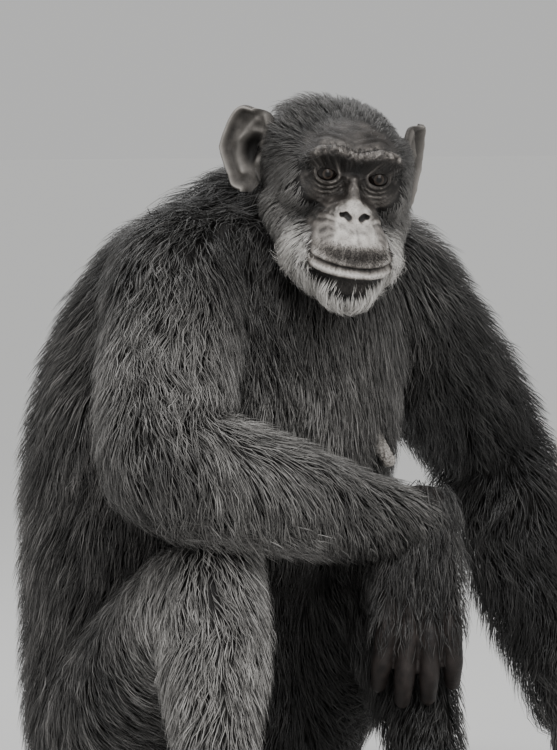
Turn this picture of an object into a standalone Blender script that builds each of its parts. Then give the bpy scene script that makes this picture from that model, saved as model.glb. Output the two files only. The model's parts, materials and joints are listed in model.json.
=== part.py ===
"""A life-size chimpanzee sitting on the floor: knees drawn up, the right forearm laid over both knees
with the hand hanging, the left arm propped on its knuckles at the side.

The body is one solid for each part that a person would name. Each haired part is a core with flat,
tapered locks of coat fused to it, out to the tips. Metres, +Z up, the animal faces -Y and its left is +X.
Run it with: blender --background --python part.py
"""

import math
import random

import bmesh
import bpy
import numpy as np
from mathutils import Matrix, Vector
from mathutils.bvhtree import BVHTree

# Joints of the skeleton.
HIP_R = Vector((-0.085, 0.000, 0.115))
KNEE_R = Vector((-0.160, -0.232, 0.290))
ANKLE_R = Vector((-0.218, -0.306, 0.072))
HIP_L = Vector((0.085, -0.010, 0.115))
KNEE_L = Vector((0.070, -0.244, 0.300))
ANKLE_L = Vector((0.066, -0.300, 0.072))
SHOULDER_R = Vector((-0.108, -0.112, 0.580))
ELBOW_R = Vector((-0.233, -0.236, 0.408))
WRIST_R = Vector((0.046, -0.306, 0.340))
SHOULDER_L = Vector((0.156, -0.112, 0.574))
ELBOW_L = Vector((0.372, -0.046, 0.398))
WRIST_L = Vector((0.438, -0.100, 0.112))
MID_EYES = Vector((-0.016, -0.274, 0.684))

# How the head is turned on the body: to the animal's right, nose down, and tilted to its left.
HEAD_YAW = math.radians(-30)
HEAD_PITCH = math.radians(10)
HEAD_ROLL = math.radians(6.5)

# Depth of the coat on the head, and the share of a coat's depth that the core of a haired node takes up.
HEAD_COAT = 0.012
CORE_SHARE = 0.45

# Locks of the coat: their length, their width, and how far along the shape each row of roots lies.
LOCKS = {
    "torso": (0.124, 0.070, (0.985, 0.85, 0.71, 0.57, 0.43, 0.30)),
    "upper_arm": (0.096, 0.044, (0.12, 0.34, 0.58)),
    "forearm": (0.092, 0.044, (0.16, 0.34, 0.52, 0.70)),
    "thigh": (0.096, 0.052, (0.34, 0.52, 0.70)),
    "shin": (0.088, 0.044, (0.24, 0.42, 0.60)),
}
# A lock's thickness on the body, and on the head in mm. How deep its root is sunk, and its room to other parts.
LOCK_THICK = 0.0034
HEAD_LOCK_THICK = 2.6
LOCK_RUN = [
    # how far along the lock, its share of the coat's depth, half its width and its thickness as shares
    (-0.20, CORE_SHARE, 0.34, 1.0),
    (0.28, 0.72, 0.50, 1.0),
    (0.68, 0.90, 0.36, 0.7),
    (1.00, 1.00, 0.0, 0.0),
]
LOCK_SUNK = 0.010
LOCK_ROOM = 0.0008
# The least share of that depth that is left of a root, the sizes tried for a lock, and its room over the floor.
ROOT_LEFT = 0.3
LOCK_SIZES = (1.0, 0.8, 0.62)
FLOOR_ROOM = 0.006
# How far apart the locks of a row are, in widths. How far the locks of the raised forearm turn to hang down.
LOCK_STEP = 1.32
FALL = 1.1
SEED = 7

GAP = 0.0003
MM = 0.001
HEAD_TRIANGLES = 1900
EYE_RADIUS = 12.3
EYE_CENTRE = (26.3, 12.3, 0.0)
UP = Vector((0, 0, 1))

# Fur and bare skin, as the viewport shows them.
FUR = ((0.022, 0.020, 0.019, 1), 0.75)
FACE_SKIN = ((0.16, 0.14, 0.13, 1), 0.55)
HAND_SKIN = ((0.055, 0.047, 0.043, 1), 0.55)
EYE_BALL = ((0.045, 0.025, 0.015, 1), 0.08)


def clear_scene():
    for obj in list(bpy.data.objects):
        bpy.data.objects.remove(obj, do_unlink=True)


def collection(name):
    made = bpy.data.collections.new(name)
    bpy.context.scene.collection.children.link(made)
    return made


def material(name, look):
    colour, roughness = look
    made = bpy.data.materials.new(name)
    made.use_nodes = True
    shader = made.node_tree.nodes["Principled BSDF"]
    shader.inputs["Base Color"].default_value = colour
    shader.inputs["Roughness"].default_value = roughness
    shader.inputs["Metallic"].default_value = 0.0
    made.diffuse_color = colour
    return made


def new_object(name, mesh, home):
    obj = bpy.data.objects.new(name, mesh)
    home.objects.link(obj)
    return obj


def mesh_from(bm, name):
    bmesh.ops.recalc_face_normals(bm, faces=bm.faces)
    mesh = bpy.data.meshes.new(name)
    bm.to_mesh(mesh)
    bm.free()
    return mesh


# Lofted body parts.

def spline(values, t):
    """A smooth curve through evenly spaced values, read at t from 0 to 1."""
    values = np.asarray(values, float)
    last = len(values) - 1
    at = min(max(t, 0.0), 1.0) * last
    i = min(int(at), last - 1)
    f = at - i
    a, b = values[i], values[i + 1]
    before = values[i - 1] if i > 0 else 2 * a - b
    after = values[i + 2] if i + 2 <= last else 2 * b - a
    return 0.5 * (
        2 * a + (b - before) * f
        + (2 * before - 5 * a + 4 * b - after) * f * f
        + (3 * a - before - 3 * b + after) * f ** 3
    )


class Loft:
    """A closed body of elliptical rings along a curve. Each station is a centre, a half width, the half
    depths in front and behind, and the coat's depth in front and behind. side is the width's way, and share
    is how much of the coat's depth lies on the body."""

    def __init__(self, stations, side, rings, sides, share=0.0):
        self.centres = [s[0] for s in stations]
        self.sizes = [s[1:] for s in stations]
        self.side = Vector(side).normalized()
        self.rings, self.sides, self.share = rings, sides, share

    def frame(self, t):
        step = 0.02
        here = Vector(spline(self.centres, t))
        ahead = Vector(spline(self.centres, min(1, t + step)))
        behind = Vector(spline(self.centres, max(0, t - step)))
        along = (ahead - behind).normalized()
        side = (self.side - along * self.side.dot(along)).normalized()
        return here, along, side, along.cross(side)

    def coat(self, t, angle):
        fore, back = spline(self.sizes, t)[3:]
        return (fore + back) / 2 + (fore - back) / 2 * math.sin(angle)

    def point(self, t, angle, share=None):
        here, _, side, front = self.frame(t)
        width, fore, back = spline(self.sizes, t)[:3]
        depth = fore if math.sin(angle) > 0 else back
        grow = self.coat(t, angle) * (self.share if share is None else share)
        return (
            here + side * math.cos(angle) * (width + grow)
            + front * math.sin(angle) * (depth + grow)
        )

    def mesh(self, name, dome=0.6):
        """The rings with a domed cap at each end. dome is a cap's bulge, as a share of its ring's size."""
        bm = bmesh.new()
        loops = []

        def cap_ring(t, share, shift):
            here, along, _, _ = self.frame(t)
            return [
                bm.verts.new(here + (self.point(t, a) - here) * share + along * shift)
                for a in self.angles()
            ]

        for t, sign in ((0, -1), (1, 1)):
            sizes = spline(self.sizes, t)
            size = float(np.mean(sizes[:3]) + np.mean(sizes[3:]) * self.share)
            outer = cap_ring(t, 0.72, sign * size * dome * 0.7)
            here, along, _, _ = self.frame(t)
            pole = bm.verts.new(here + along * sign * size * dome)
            if sign < 0:
                loops.append(outer)
                start = pole
                loops += [
                    [bm.verts.new(self.point(i / (self.rings - 1), a)) for a in self.angles()]
                    for i in range(self.rings)
                ]
            else:
                loops.append(outer)
                end = pole
        for first, second in zip(loops, loops[1:]):
            for i in range(self.sides):
                j = (i + 1) % self.sides
                bm.faces.new((first[i], first[j], second[j], second[i]))
        for loop, pole in ((loops[0], start), (loops[-1], end)):
            for i in range(self.sides):
                bm.faces.new((loop[i], loop[(i + 1) % self.sides], pole))
        return mesh_from(bm, name)

    def angles(self):
        return [2 * math.pi * i / self.sides for i in range(self.sides)]


def between(a, b, t):
    return a + (b - a) * t


def round_stations(points, radii, fore=(0.0,), back=None):
    """Round stations. fore and back are depths of the coat, spread along the points."""
    back = back or fore
    last = len(points) - 1
    return [
        (p, r, r, r, float(spread(fore, i / last)), float(spread(back, i / last)))
        for i, (p, r) in enumerate(zip(points, radii))
    ]


def spread(values, t):
    return np.interp(t, np.linspace(0, 1, len(values)), values) if len(values) > 1 else values[0]


def torso_stations():
    """From the seat to the base of the neck."""
    rows = [
        # x, y, z, half width, belly, back, coat in front, coat behind
        (0.000, 0.012, 0.020, 0.108, 0.092, 0.088, 0.014, 0.022),
        (0.000, 0.008, 0.060, 0.150, 0.122, 0.122, 0.014, 0.024),
        (0.000, 0.000, 0.130, 0.164, 0.140, 0.144, 0.014, 0.026),
        (0.000, -0.010, 0.215, 0.168, 0.142, 0.156, 0.014, 0.028),
        (0.000, -0.022, 0.305, 0.174, 0.142, 0.170, 0.014, 0.028),
        (0.002, -0.042, 0.395, 0.181, 0.136, 0.176, 0.016, 0.030),
        (0.006, -0.068, 0.480, 0.178, 0.126, 0.168, 0.018, 0.030),
        (0.010, -0.094, 0.555, 0.160, 0.108, 0.148, 0.018, 0.028),
        (0.010, -0.108, 0.612, 0.138, 0.080, 0.124, 0.018, 0.026),
        (0.007, -0.108, 0.648, 0.104, 0.052, 0.100, 0.018, 0.024),
        (0.003, -0.110, 0.668, 0.058, 0.028, 0.055, 0.016, 0.022),
    ]
    return [(Vector(row[:3]), *row[3:]) for row in rows]


def neck_stations():
    rows = [
        (0.012, -0.130, 0.600, 0.066, 0.060, 0.064, 0.018, 0.020),
        (0.017, -0.155, 0.632, 0.064, 0.058, 0.062, 0.018, 0.020),
        (0.021, -0.180, 0.655, 0.060, 0.052, 0.058, 0.014, 0.018),
        (0.024, -0.200, 0.676, 0.050, 0.044, 0.048, 0.010, 0.014),
    ]
    return [(Vector(row[:3]), *row[3:]) for row in rows]


def upper_arm_stations(shoulder, elbow, inward):
    points = [
        shoulder + Vector((inward * 0.030, 0.006, 0.016)),
        shoulder,
        between(shoulder, elbow, 0.30),
        between(shoulder, elbow, 0.62),
        between(shoulder, elbow, 0.88),
        elbow,
    ]
    return round_stations(points, [0.046, 0.058, 0.059, 0.055, 0.048, 0.042], (0.022, 0.022, 0.024, 0.026))


def forearm_stations(elbow, wrist, fore, back):
    points = [between(elbow, wrist, t) for t in (-0.06, 0.06, 0.25, 0.5, 0.75, 0.93, 1.0)]
    return round_stations(points, [0.038, 0.047, 0.050, 0.044, 0.033, 0.027, 0.025], fore, back)


def thigh_stations(hip, knee):
    points = [between(hip, knee, t) for t in (-0.08, 0.15, 0.42, 0.70, 0.92, 1.02)]
    return round_stations(points, [0.080, 0.084, 0.074, 0.060, 0.048, 0.038], (0.024, 0.024, 0.022, 0.020))


def shin_stations(knee, ankle, back):
    points = [between(knee, ankle, t) for t in (-0.10, 0.10, 0.32, 0.58, 0.84, 1.02)]
    calf = [0.0, 0.002, 0.010, 0.006, 0.0, 0.0]
    points = [p + back * c for p, c in zip(points, calf)]
    return round_stations(points, [0.034, 0.042, 0.044, 0.036, 0.029, 0.028], (0.018, 0.020, 0.018, 0.014))


# The head, as a distance in millimetres from its surface, in its own frame: X to the animal's left, Y backwards,
# Z up, and the origin midway between the fronts of the eyes.

def ellipsoid(p, centre, radii):
    q = (p - np.array(centre, float)) / np.array(radii, float)
    k0 = np.linalg.norm(q, axis=1)
    k1 = np.linalg.norm(q / np.array(radii, float), axis=1)
    return k0 * (k0 - 1) / np.maximum(k1, 1e-9)


def tube(p, points, radii):
    """Distance to a chain of tapering rods."""
    best = None
    for a, b, ra, rb in zip(points, points[1:], radii, radii[1:]):
        a, b = np.array(a, float), np.array(b, float)
        along = np.clip((p - a) @ (b - a) / ((b - a) @ (b - a)), 0, 1)
        near = np.linalg.norm(p - a - along[:, None] * (b - a), axis=1) - (ra + (rb - ra) * along)
        best = near if best is None else np.minimum(best, near)
    return best


def join(a, b, soft):
    h = np.clip(0.5 + 0.5 * (b - a) / soft, 0, 1)
    return b + (a - b) * h - soft * h * (1 - h)


def carve(a, b, soft):
    return -join(-a, b, soft)


BROW = [(0, -8.0, 19.0), (10, -9.5, 20.5), (25, -8.5, 23.5), (38, -2.0, 20.5), (48, 11, 11)]
MOUTH = [(0, -74.0, -78.5), (15, -70.5, -78.3), (28, -60.0, -77.5), (38, -44.0, -76.0), (43, -32.0, -73.0)]


def shifted(points, dy, dz):
    return [(x, y + dy, z + dz) for x, y, z in points]


def head_distance(p):
    m = p.copy()
    m[:, 0] = np.abs(m[:, 0])
    d = ellipsoid(m, (0, 80, 11), (59, 76, 46))
    d = join(d, ellipsoid(m, (44, 62, -8), (22, 48, 34)), 14)
    d = join(d, ellipsoid(m, (0, 30, -4), (54, 34, 28)), 12)
    d = join(d, ellipsoid(m, (46, 30, -26), (19, 30, 19)), 12)
    d = join(d, ellipsoid(m, (0, -4, -44), (34, 36, 26)), 12)
    d = join(d, ellipsoid(m, (0, -10, -66), (44, 64, 31)), 9)
    d = join(d, ellipsoid(m, (0, -2, -88), (42, 62, 27)), 8)
    d = join(d, ellipsoid(m, (0, -48, -102), (24, 20, 14)), 10)
    d = join(d, tube(m, [(40, 14, -82), (50, 62, -46)], [20, 22]), 14)
    d = join(d, ellipsoid(m, (0, 48, -66), (46, 48, 38)), 16)
    d = join(d, tube(m, BROW, [7.0, 7.2, 7.6, 7.0, 5.5]), 5)
    d = carve(d, ellipsoid(m, (27, -15, -2), (18, 18, 14)), 6)
    d = join(d, tube(m, [(0, -3, -6), (0, -17, -22), (0, -26, -30)], [7, 8, 9]), 5)
    d = join(d, ellipsoid(m, (8.5, -27, -34.5), (8.5, 9, 7)), 4)
    d = carve(d, ellipsoid(m, (8.0, -36, -34.5), (4.0, 8, 3.6)), 2)
    d = join(d, tube(m, shifted(MOUTH, 1.5, 4.5), [3.6, 3.6, 3.4, 3.0, 2.0]), 3)
    d = join(d, tube(m, shifted(MOUTH, 0.5, -5.5), [4.2, 4.2, 3.8, 3.2, 2.0]), 3)
    d = carve(d, tube(m, shifted(MOUTH, -3.0, -0.5), [2.6, 2.6, 2.4, 2.2, 1.0]), 1.5)
    lids = np.linalg.norm(m - np.array(EYE_CENTRE), axis=1) - (EYE_RADIUS + 2.2)
    d = join(d, lids, 3)
    across, up = m[:, 0] - EYE_CENTRE[0], m[:, 2] - EYE_CENTRE[2]
    opening = np.maximum(np.hypot(across / 10.8, up / 5.8) - 1, (m[:, 1] - EYE_CENTRE[1] + 3) / 8) * 6
    return carve(d, opening, 1.0)


def head_place():
    """From the head's frame, in millimetres, to the body's, in metres."""
    turn = (
        Matrix.Rotation(HEAD_YAW, 4, "Z")
        @ Matrix.Rotation(HEAD_PITCH, 4, "X")
        @ Matrix.Rotation(HEAD_ROLL, 4, "Y")
    )
    return Matrix.Translation(MID_EYES) @ turn @ Matrix.Scale(MM, 4)


HEAD_MIDDLE = (0, 30, -22)


def hair_on_head(p):
    """Depth of the coat, in millimetres, at points of the head's surface: none on the face."""
    x, y, z = np.abs(p[:, 0]), p[:, 1], p[:, 2]
    crown = np.clip((y - 18) / 30, 0, 1) * np.clip((z - 12) / 20, 0, 1)
    cheek = np.clip((y - 18) / 22, 0, 1) * np.clip((x - 30) / 15, 0, 1) * np.clip((30 - z) / 20, 0, 1)
    beard = np.clip((-96 - z) / 12, 0, 1)
    return np.maximum(np.maximum(crown, cheek), beard)


def head_core(share, triangles):
    """An icosphere drawn onto the head's surface, finer on the face, with the coat's core over it."""
    bm = bmesh.new()
    bmesh.ops.create_icosphere(bm, subdivisions=6, radius=1)
    rays = np.array([v.co for v in bm.verts])
    rays[:, 1] *= 1.15
    rays /= np.linalg.norm(rays, axis=1)[:, None]
    reach = np.full(len(rays), 190.0)
    middle = np.array(HEAD_MIDDLE, float)
    for _ in range(70):
        reach -= np.clip(head_distance(middle + rays * reach[:, None]), -6, 60) * 0.7
    points = middle + rays * reach[:, None]
    points += rays * (hair_on_head(points) * HEAD_COAT / MM * share)[:, None]
    for vert, point in zip(bm.verts, points):
        vert.co = point
    mesh = mesh_from(bm, "head")
    obj = new_object("head", mesh, bpy.context.scene.collection)
    face = obj.vertex_groups.new(name="face")
    for i, (x, y, z) in enumerate(points):
        on_face = (y < 14 and z < 32 and abs(x) < 52)
        eye = math.hypot(abs(x) - EYE_CENTRE[0], z) < 19 and y < 20
        face.add([i], 1.0 if eye else 0.8 if on_face else 0.0, "REPLACE")
    thin = obj.modifiers.new("thin", "DECIMATE")
    thin.vertex_group = "face"
    thin.invert_vertex_group = True
    thin.vertex_group_factor = 3.0
    thin.ratio = triangles / len(mesh.polygons)
    obj.matrix_world = head_place()
    return obj


def ball(name, centre, radius, place, home, segments=14, rings=8):
    bm = bmesh.new()
    bmesh.ops.create_uvsphere(bm, u_segments=segments, v_segments=rings, radius=radius)
    bmesh.ops.translate(bm, verts=bm.verts, vec=centre)
    bmesh.ops.transform(bm, matrix=place, verts=bm.verts)
    return new_object(name, mesh_from(bm, name), home)


# Ears: a cupped shell with a rolled rim, standing out from the side of the head.
EAR_HEIGHT = 84.0
EAR_DEPTH = 50.0
EAR_ROOT = (70.0, 86.0, -3.0)
EAR_FLARE = {"right": math.radians(34), "left": math.radians(58)}


def ear_point(u, v, back):
    """A point of the ear in its own frame: X outwards from the root, Z up, Y backwards. v runs up, u out
    to the rim."""
    around = math.pi * (v - 0.5)
    height = EAR_HEIGHT * 0.5 * math.sin(around) * (1.0 + 0.06 * math.cos(around))
    reach = EAR_DEPTH * math.cos(around) ** 0.75 * (1.0 - 0.16 * max(0, 0.5 - v)) if abs(around) < 1.57 else 0.0
    rim = u ** 6
    hollow = 0.0
    if abs(around) < 1.57:
        hollow = -11.0 * math.sin(math.pi * min(1, u * 1.05)) * math.cos(around) ** 0.5
    roll = 5.0 * rim
    thickness = (3.4 + 2.6 * rim) if back else 0.0
    return Vector((reach * u, -hollow - roll + thickness, height))


def ear(side, home, root_depth=10.0):
    sign = -1 if side == "right" else 1
    across, tall = 7, 11
    bm = bmesh.new()
    grids = []
    for back in (False, True):
        grid = []
        for j in range(tall):
            v = 0.04 + 0.92 * j / (tall - 1)
            row = [ear_point(i / (across - 1), v, back) for i in range(across)]
            row[0] = row[0] + Vector((-root_depth, 2.0 if back else -2.0, 0))
            grid.append([bm.verts.new(p) for p in row])
        grids.append(grid)
    front, rear = grids
    for grid in grids:
        for low, high in zip(grid, grid[1:]):
            for i in range(across - 1):
                bm.faces.new((low[i], low[i + 1], high[i + 1], high[i]))
    border = (
        [(0, i) for i in range(across)] + [(j, across - 1) for j in range(1, tall)]
        + [(tall - 1, i) for i in range(across - 2, -1, -1)] + [(j, 0) for j in range(tall - 2, 0, -1)]
    )
    for (a, b), (c, d) in zip(border, border[1:] + border[:1]):
        bm.faces.new((front[a][b], front[c][d], rear[c][d], rear[a][b]))
    turn = Matrix.Rotation(EAR_FLARE[side], 4, "Z") @ Matrix.Rotation(math.radians(-8), 4, "Y")
    bmesh.ops.transform(bm, matrix=Matrix.Translation(EAR_ROOT) @ turn, verts=bm.verts)
    for vert in bm.verts:
        vert.co.x *= sign
    bmesh.ops.transform(bm, matrix=head_place(), verts=bm.verts)
    return new_object(f"ear_{side}", mesh_from(bm, "ear"), home)


# Hands and feet.

def finger(points, radii, sides=7, rings=4):
    stations = round_stations(points, radii)
    along = (points[-1] - points[0]).normalized()
    side = along.orthogonal()
    return Loft(stations, side, rings, sides).mesh("finger", dome=0.8)


def hand(name, wrist, down, dorsal, home, thumb_side, knuckle=False):
    """A palm, four fingers and a thumb. down runs from the wrist to the fingers, dorsal out of its back."""
    down = down.normalized()
    dorsal = (dorsal - down * dorsal.dot(down)).normalized()
    side = down.cross(dorsal) * thumb_side
    palm_length, half_width = 0.086, 0.036
    stations = [
        (wrist + down * -0.012, 0.024, 0.018, 0.018, 0, 0),
        (wrist + down * 0.012, 0.028, 0.017, 0.018, 0, 0),
        (wrist + down * 0.045, 0.036, 0.014, 0.018, 0, 0),
        (wrist + down * palm_length, 0.038, 0.012, 0.013, 0, 0),
    ]
    pieces = [Loft(stations, side, 4, 12).mesh(name, dome=0.45)]
    lengths = [0.083, 0.098, 0.094, 0.078]
    for i, length in enumerate(lengths):
        across = side * (half_width * (0.80 - 0.53 * i))
        root = wrist + down * (palm_length - 0.012) + across
        if knuckle:
            points = [
                root,
                root + down * 0.034 + dorsal * 0.034,
                root + down * 0.036 + dorsal * 0.004,
            ]
            radii = [0.0125, 0.0130, 0.0125]
            for k in range(2):
                pieces.append(finger(points[k:k + 2], radii[k:k + 2], 7, 2))
        else:
            spread = side * (0.10 - 0.066 * i) * length
            points = [
                root,
                root + down * length * 0.40 + dorsal * 0.004 + spread * 0.4,
                root + down * length * 0.78 - dorsal * 0.010 + spread * 0.8,
                root + down * length - dorsal * 0.034 + spread,
            ]
            pieces.append(finger(points, [0.0118, 0.0112, 0.0100, 0.0080]))
    if knuckle:
        heart = [wrist + down * t + dorsal * 0.010 for t in (0.060, 0.085, 0.104)]
        stations = [(p, 0.034, 0.016, 0.020, 0, 0) for p in heart]
        pieces.append(Loft(stations, side, 4, 12).mesh("heart", dome=0.4))
    base = wrist + down * 0.022 + side * 0.020 - dorsal * 0.006
    thumb = [
        base,
        base + down * 0.026 + side * 0.016 - dorsal * 0.008,
        base + down * 0.052 + side * 0.020 - dorsal * 0.014,
    ]
    pieces.append(finger(thumb, [0.012, 0.0105, 0.0080]))
    return union(name, pieces, home)


def foot(name, ankle, toes, inner, home):
    """A long flat foot with four toes, and a big toe that stands inwards. toes points forwards."""
    toes, inner = toes.normalized(), inner.normalized()
    heel = Vector((ankle.x, ankle.y, 0)) - toes * 0.040
    stations = [
        (heel + UP * 0.024 + toes * 0.004, 0.022, 0.026, 0.024, 0, 0),
        (heel + UP * 0.026 + toes * 0.030, 0.030, 0.032, 0.026, 0, 0),
        (heel + UP * 0.025 + toes * 0.070, 0.033, 0.030, 0.025, 0, 0),
        (heel + UP * 0.020 + toes * 0.115, 0.038, 0.020, 0.020, 0, 0),
        (heel + UP * 0.016 + toes * 0.150, 0.038, 0.015, 0.016, 0, 0),
    ]
    pieces = [Loft(stations, inner, 6, 12).mesh(name, dome=0.5)]
    leg = [Vector((ankle.x, ankle.y, 0.030)), ankle + UP * 0.012]
    pieces.append(Loft(round_stations(leg, [0.027, 0.027]), inner, 3, 12).mesh("leg", dome=0.4))
    for i, length in enumerate((0.062, 0.066, 0.062, 0.052)):
        root = heel + toes * 0.140 + inner * (0.026 - 0.018 * i) + UP * 0.014
        points = [root, root + toes * length * 0.5 + UP * 0.006, root + toes * length - UP * 0.003]
        pieces.append(finger(points, [0.0115, 0.0110, 0.0095], 6, 3))
    base = heel + toes * 0.078 + inner * 0.022 + UP * 0.016
    big = [base, base + toes * 0.030 + inner * 0.030, base + toes * 0.070 + inner * 0.042 - UP * 0.002]
    pieces.append(finger(big, [0.016, 0.014, 0.011]))
    return union(name, pieces, home)


# Booleans.

def union(name, meshes, home):
    base = new_object(name, meshes[0], home)
    fuse(base, meshes[1:])
    return base


def fuse(base, meshes):
    """Joins closed meshes to a closed body, by a Boolean on a collection, which is then removed."""
    pieces = collection("pieces")
    for mesh in meshes:
        new_object("piece", mesh, pieces)
    joint = base.modifiers.new("fuse", "BOOLEAN")
    joint.operation = "UNION"
    joint.operand_type = "COLLECTION"
    joint.collection = pieces
    apply_modifiers(base)
    for piece in list(pieces.objects):
        bpy.data.objects.remove(piece)
    bpy.data.collections.remove(pieces)
    keep_largest(base)


def apply_modifiers(obj):
    bpy.context.view_layer.update()
    graph = bpy.context.evaluated_depsgraph_get()
    mesh = bpy.data.meshes.new_from_object(obj.evaluated_get(graph))
    mesh.transform(obj.matrix_world)
    obj.matrix_world = Matrix.Identity(4)
    obj.modifiers.clear()
    obj.data = mesh


def cut(obj, cutters):
    """Takes each cutter out of the object, and keeps the largest closed surface."""
    for cutter in cutters:
        cutter.hide_render = True
        cutter.display_type = "WIRE"
        knife = obj.modifiers.new("cut", "BOOLEAN")
        knife.operation = "DIFFERENCE"
        knife.object = cutter
    apply_modifiers(obj)
    if obj.data.vertices:
        keep_largest(obj)


def keep_largest(obj):
    """Removes every loose surface but the one of the largest box."""
    bm = bmesh.new()
    bm.from_mesh(obj.data)
    bmesh.ops.remove_doubles(bm, verts=bm.verts, dist=1e-6)
    left = set(bm.verts)
    shells = []
    while left:
        shell, front = set(), [left.pop()]
        while front:
            vert = front.pop()
            shell.add(vert)
            for edge in vert.link_edges:
                other = edge.other_vert(vert)
                if other in left:
                    left.remove(other)
                    front.append(other)
        shells.append(shell)
    shells.sort(key=len, reverse=True)
    for shell in shells[1:]:
        bmesh.ops.delete(bm, geom=list(shell), context="VERTS")
    bmesh.ops.triangulate(bm, faces=bm.faces)
    bm.to_mesh(obj.data)
    bm.free()


def grown(obj, by, home):
    """A copy of a smooth body with its surface moved out, for cutting its neighbours with a gap."""
    return new_object("grown", swollen(obj.data, by), home)


def floor_box(home):
    bm = bmesh.new()
    bmesh.ops.create_cube(bm, size=1.0)
    bmesh.ops.scale(bm, vec=(3, 3, 1), verts=bm.verts)
    bmesh.ops.translate(bm, vec=(0, 0, -0.5), verts=bm.verts)
    return new_object("floor", mesh_from(bm, "floor"), home)


# Building the nodes.

def lofts(share):
    """The haired nodes that are lofts, with how far their ends bulge."""
    across = {side: UP.cross(wrist - elbow) for side, elbow, wrist in
              (("right", ELBOW_R, WRIST_R), ("left", ELBOW_L, WRIST_L))}
    side_x = Vector((1, 0, 0))
    hanging = forearm_stations(ELBOW_R, WRIST_R, (0.022, 0.012, 0.010), (0.026, 0.030, 0.018))
    propped = forearm_stations(ELBOW_L, WRIST_L, (0.024, 0.022, 0.012), (0.026, 0.026, 0.016))
    outwards = {"right": Vector((0.6, 0.8, 0)), "left": Vector((0, 1, 0))}
    specs = {
        "torso": (torso_stations(), -side_x, 14, 24, 0.35),
        "neck": (neck_stations(), -side_x, 5, 16, 0.3),
        "upper_arm_right": (upper_arm_stations(SHOULDER_R, ELBOW_R, 1), UP, 8, 14, 0.6),
        "upper_arm_left": (upper_arm_stations(SHOULDER_L, ELBOW_L, -1), UP, 8, 14, 0.6),
        "forearm_right": (hanging, across["right"], 8, 14, 0.5),
        "forearm_left": (propped, across["left"], 8, 14, 0.5),
        "thigh_right": (thigh_stations(HIP_R, KNEE_R), side_x, 7, 14, 0.6),
        "thigh_left": (thigh_stations(HIP_L, KNEE_L), side_x, 7, 14, 0.6),
        "shin_right": (shin_stations(KNEE_R, ANKLE_R, outwards["right"]), side_x, 7, 14, 0.4),
        "shin_left": (shin_stations(KNEE_L, ANKLE_L, outwards["left"]), side_x, 7, 14, 0.4),
    }
    return {
        name: (Loft(stations, side, rings, sides, share), dome)
        for name, (stations, side, rings, sides, dome) in specs.items()
    }


def build(share):
    """Every node's core, with share of the coat's depth on it, cut clear of its neighbours."""
    part = collection("chimpanzee")
    cutters = collection("cutters")
    floor = floor_box(cutters)
    nodes = {name: new_object(name, loft.mesh(name, dome), part) for name, (loft, dome) in lofts(share).items()}
    nodes["head"] = head_core(share, HEAD_TRIANGLES)
    bpy.context.scene.collection.objects.unlink(nodes["head"])
    part.objects.link(nodes["head"])
    apply_modifiers(nodes["head"])
    keep_largest(nodes["head"])
    for side, sign in (("right", -1), ("left", 1)):
        nodes[f"ear_{side}"] = ear(side, part)
        centre = (sign * EYE_CENTRE[0], EYE_CENTRE[1], EYE_CENTRE[2])
        nodes[f"eye_{side}"] = ball(f"eye_{side}", centre, EYE_RADIUS, head_place(), part)
    droop = Vector((-0.20, -0.19, -0.96))
    shown = Vector((-0.62, -0.78, 0.10))
    nodes["hand_right"] = hand("hand_right", WRIST_R, droop, shown, part, 1)
    propped = WRIST_L - ELBOW_L + Vector((-0.03, -0.01, -0.06))
    nodes["hand_left"] = hand("hand_left", WRIST_L, propped, Vector((0.25, -0.97, 0.2)), part, -1, True)
    nodes["foot_right"] = foot("foot_right", ANKLE_R, Vector((-0.34, -0.94, 0)), Vector((0.94, -0.34, 0)), part)
    nodes["foot_left"] = foot("foot_left", ANKLE_L, Vector((0.10, -0.99, 0)), Vector((-0.99, -0.10, 0)), part)

    # Each node is cut clear of those that come before it here.
    order = [
        "eye_right", "eye_left", "head", "ear_right", "ear_left", "torso", "neck",
        "upper_arm_right", "upper_arm_left", "forearm_right", "forearm_left",
        "thigh_right", "thigh_left", "shin_right", "shin_left",
        "hand_right", "hand_left", "foot_right", "foot_left",
    ]
    made = []
    for name in order:
        near = [grown(nodes[other], GAP, cutters) for other in made if boxes_meet(nodes[name], nodes[other])]
        if name not in ("eye_right", "eye_left"):
            near.append(floor)
        if near:
            cut(nodes[name], near)
        made.append(name)
    return part, cutters, nodes


# Locks of the coat.

def lock_mesh(rings, tip):
    """A flat, tapered lock: rings of its left edge, its top and its right edge, that close to a tip."""
    bm = bmesh.new()
    loops = [[bm.verts.new(point) for point in ring] for ring in rings]
    end = bm.verts.new(tip)
    for first, second in zip(loops, loops[1:]):
        for i in range(3):
            j = (i + 1) % 3
            bm.faces.new((first[i], first[j], second[j], second[i]))
    for i in range(3):
        bm.faces.new((loops[-1][i], loops[-1][(i + 1) % 3], end))
    bm.faces.new(loops[0])
    bmesh.ops.triangulate(bm, faces=bm.faces)
    return mesh_from(bm, "lock")


def tree_of(mesh):
    bm = bmesh.new()
    bm.from_mesh(mesh)
    tree = BVHTree.FromBMesh(bm)
    bm.free()
    return tree


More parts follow.
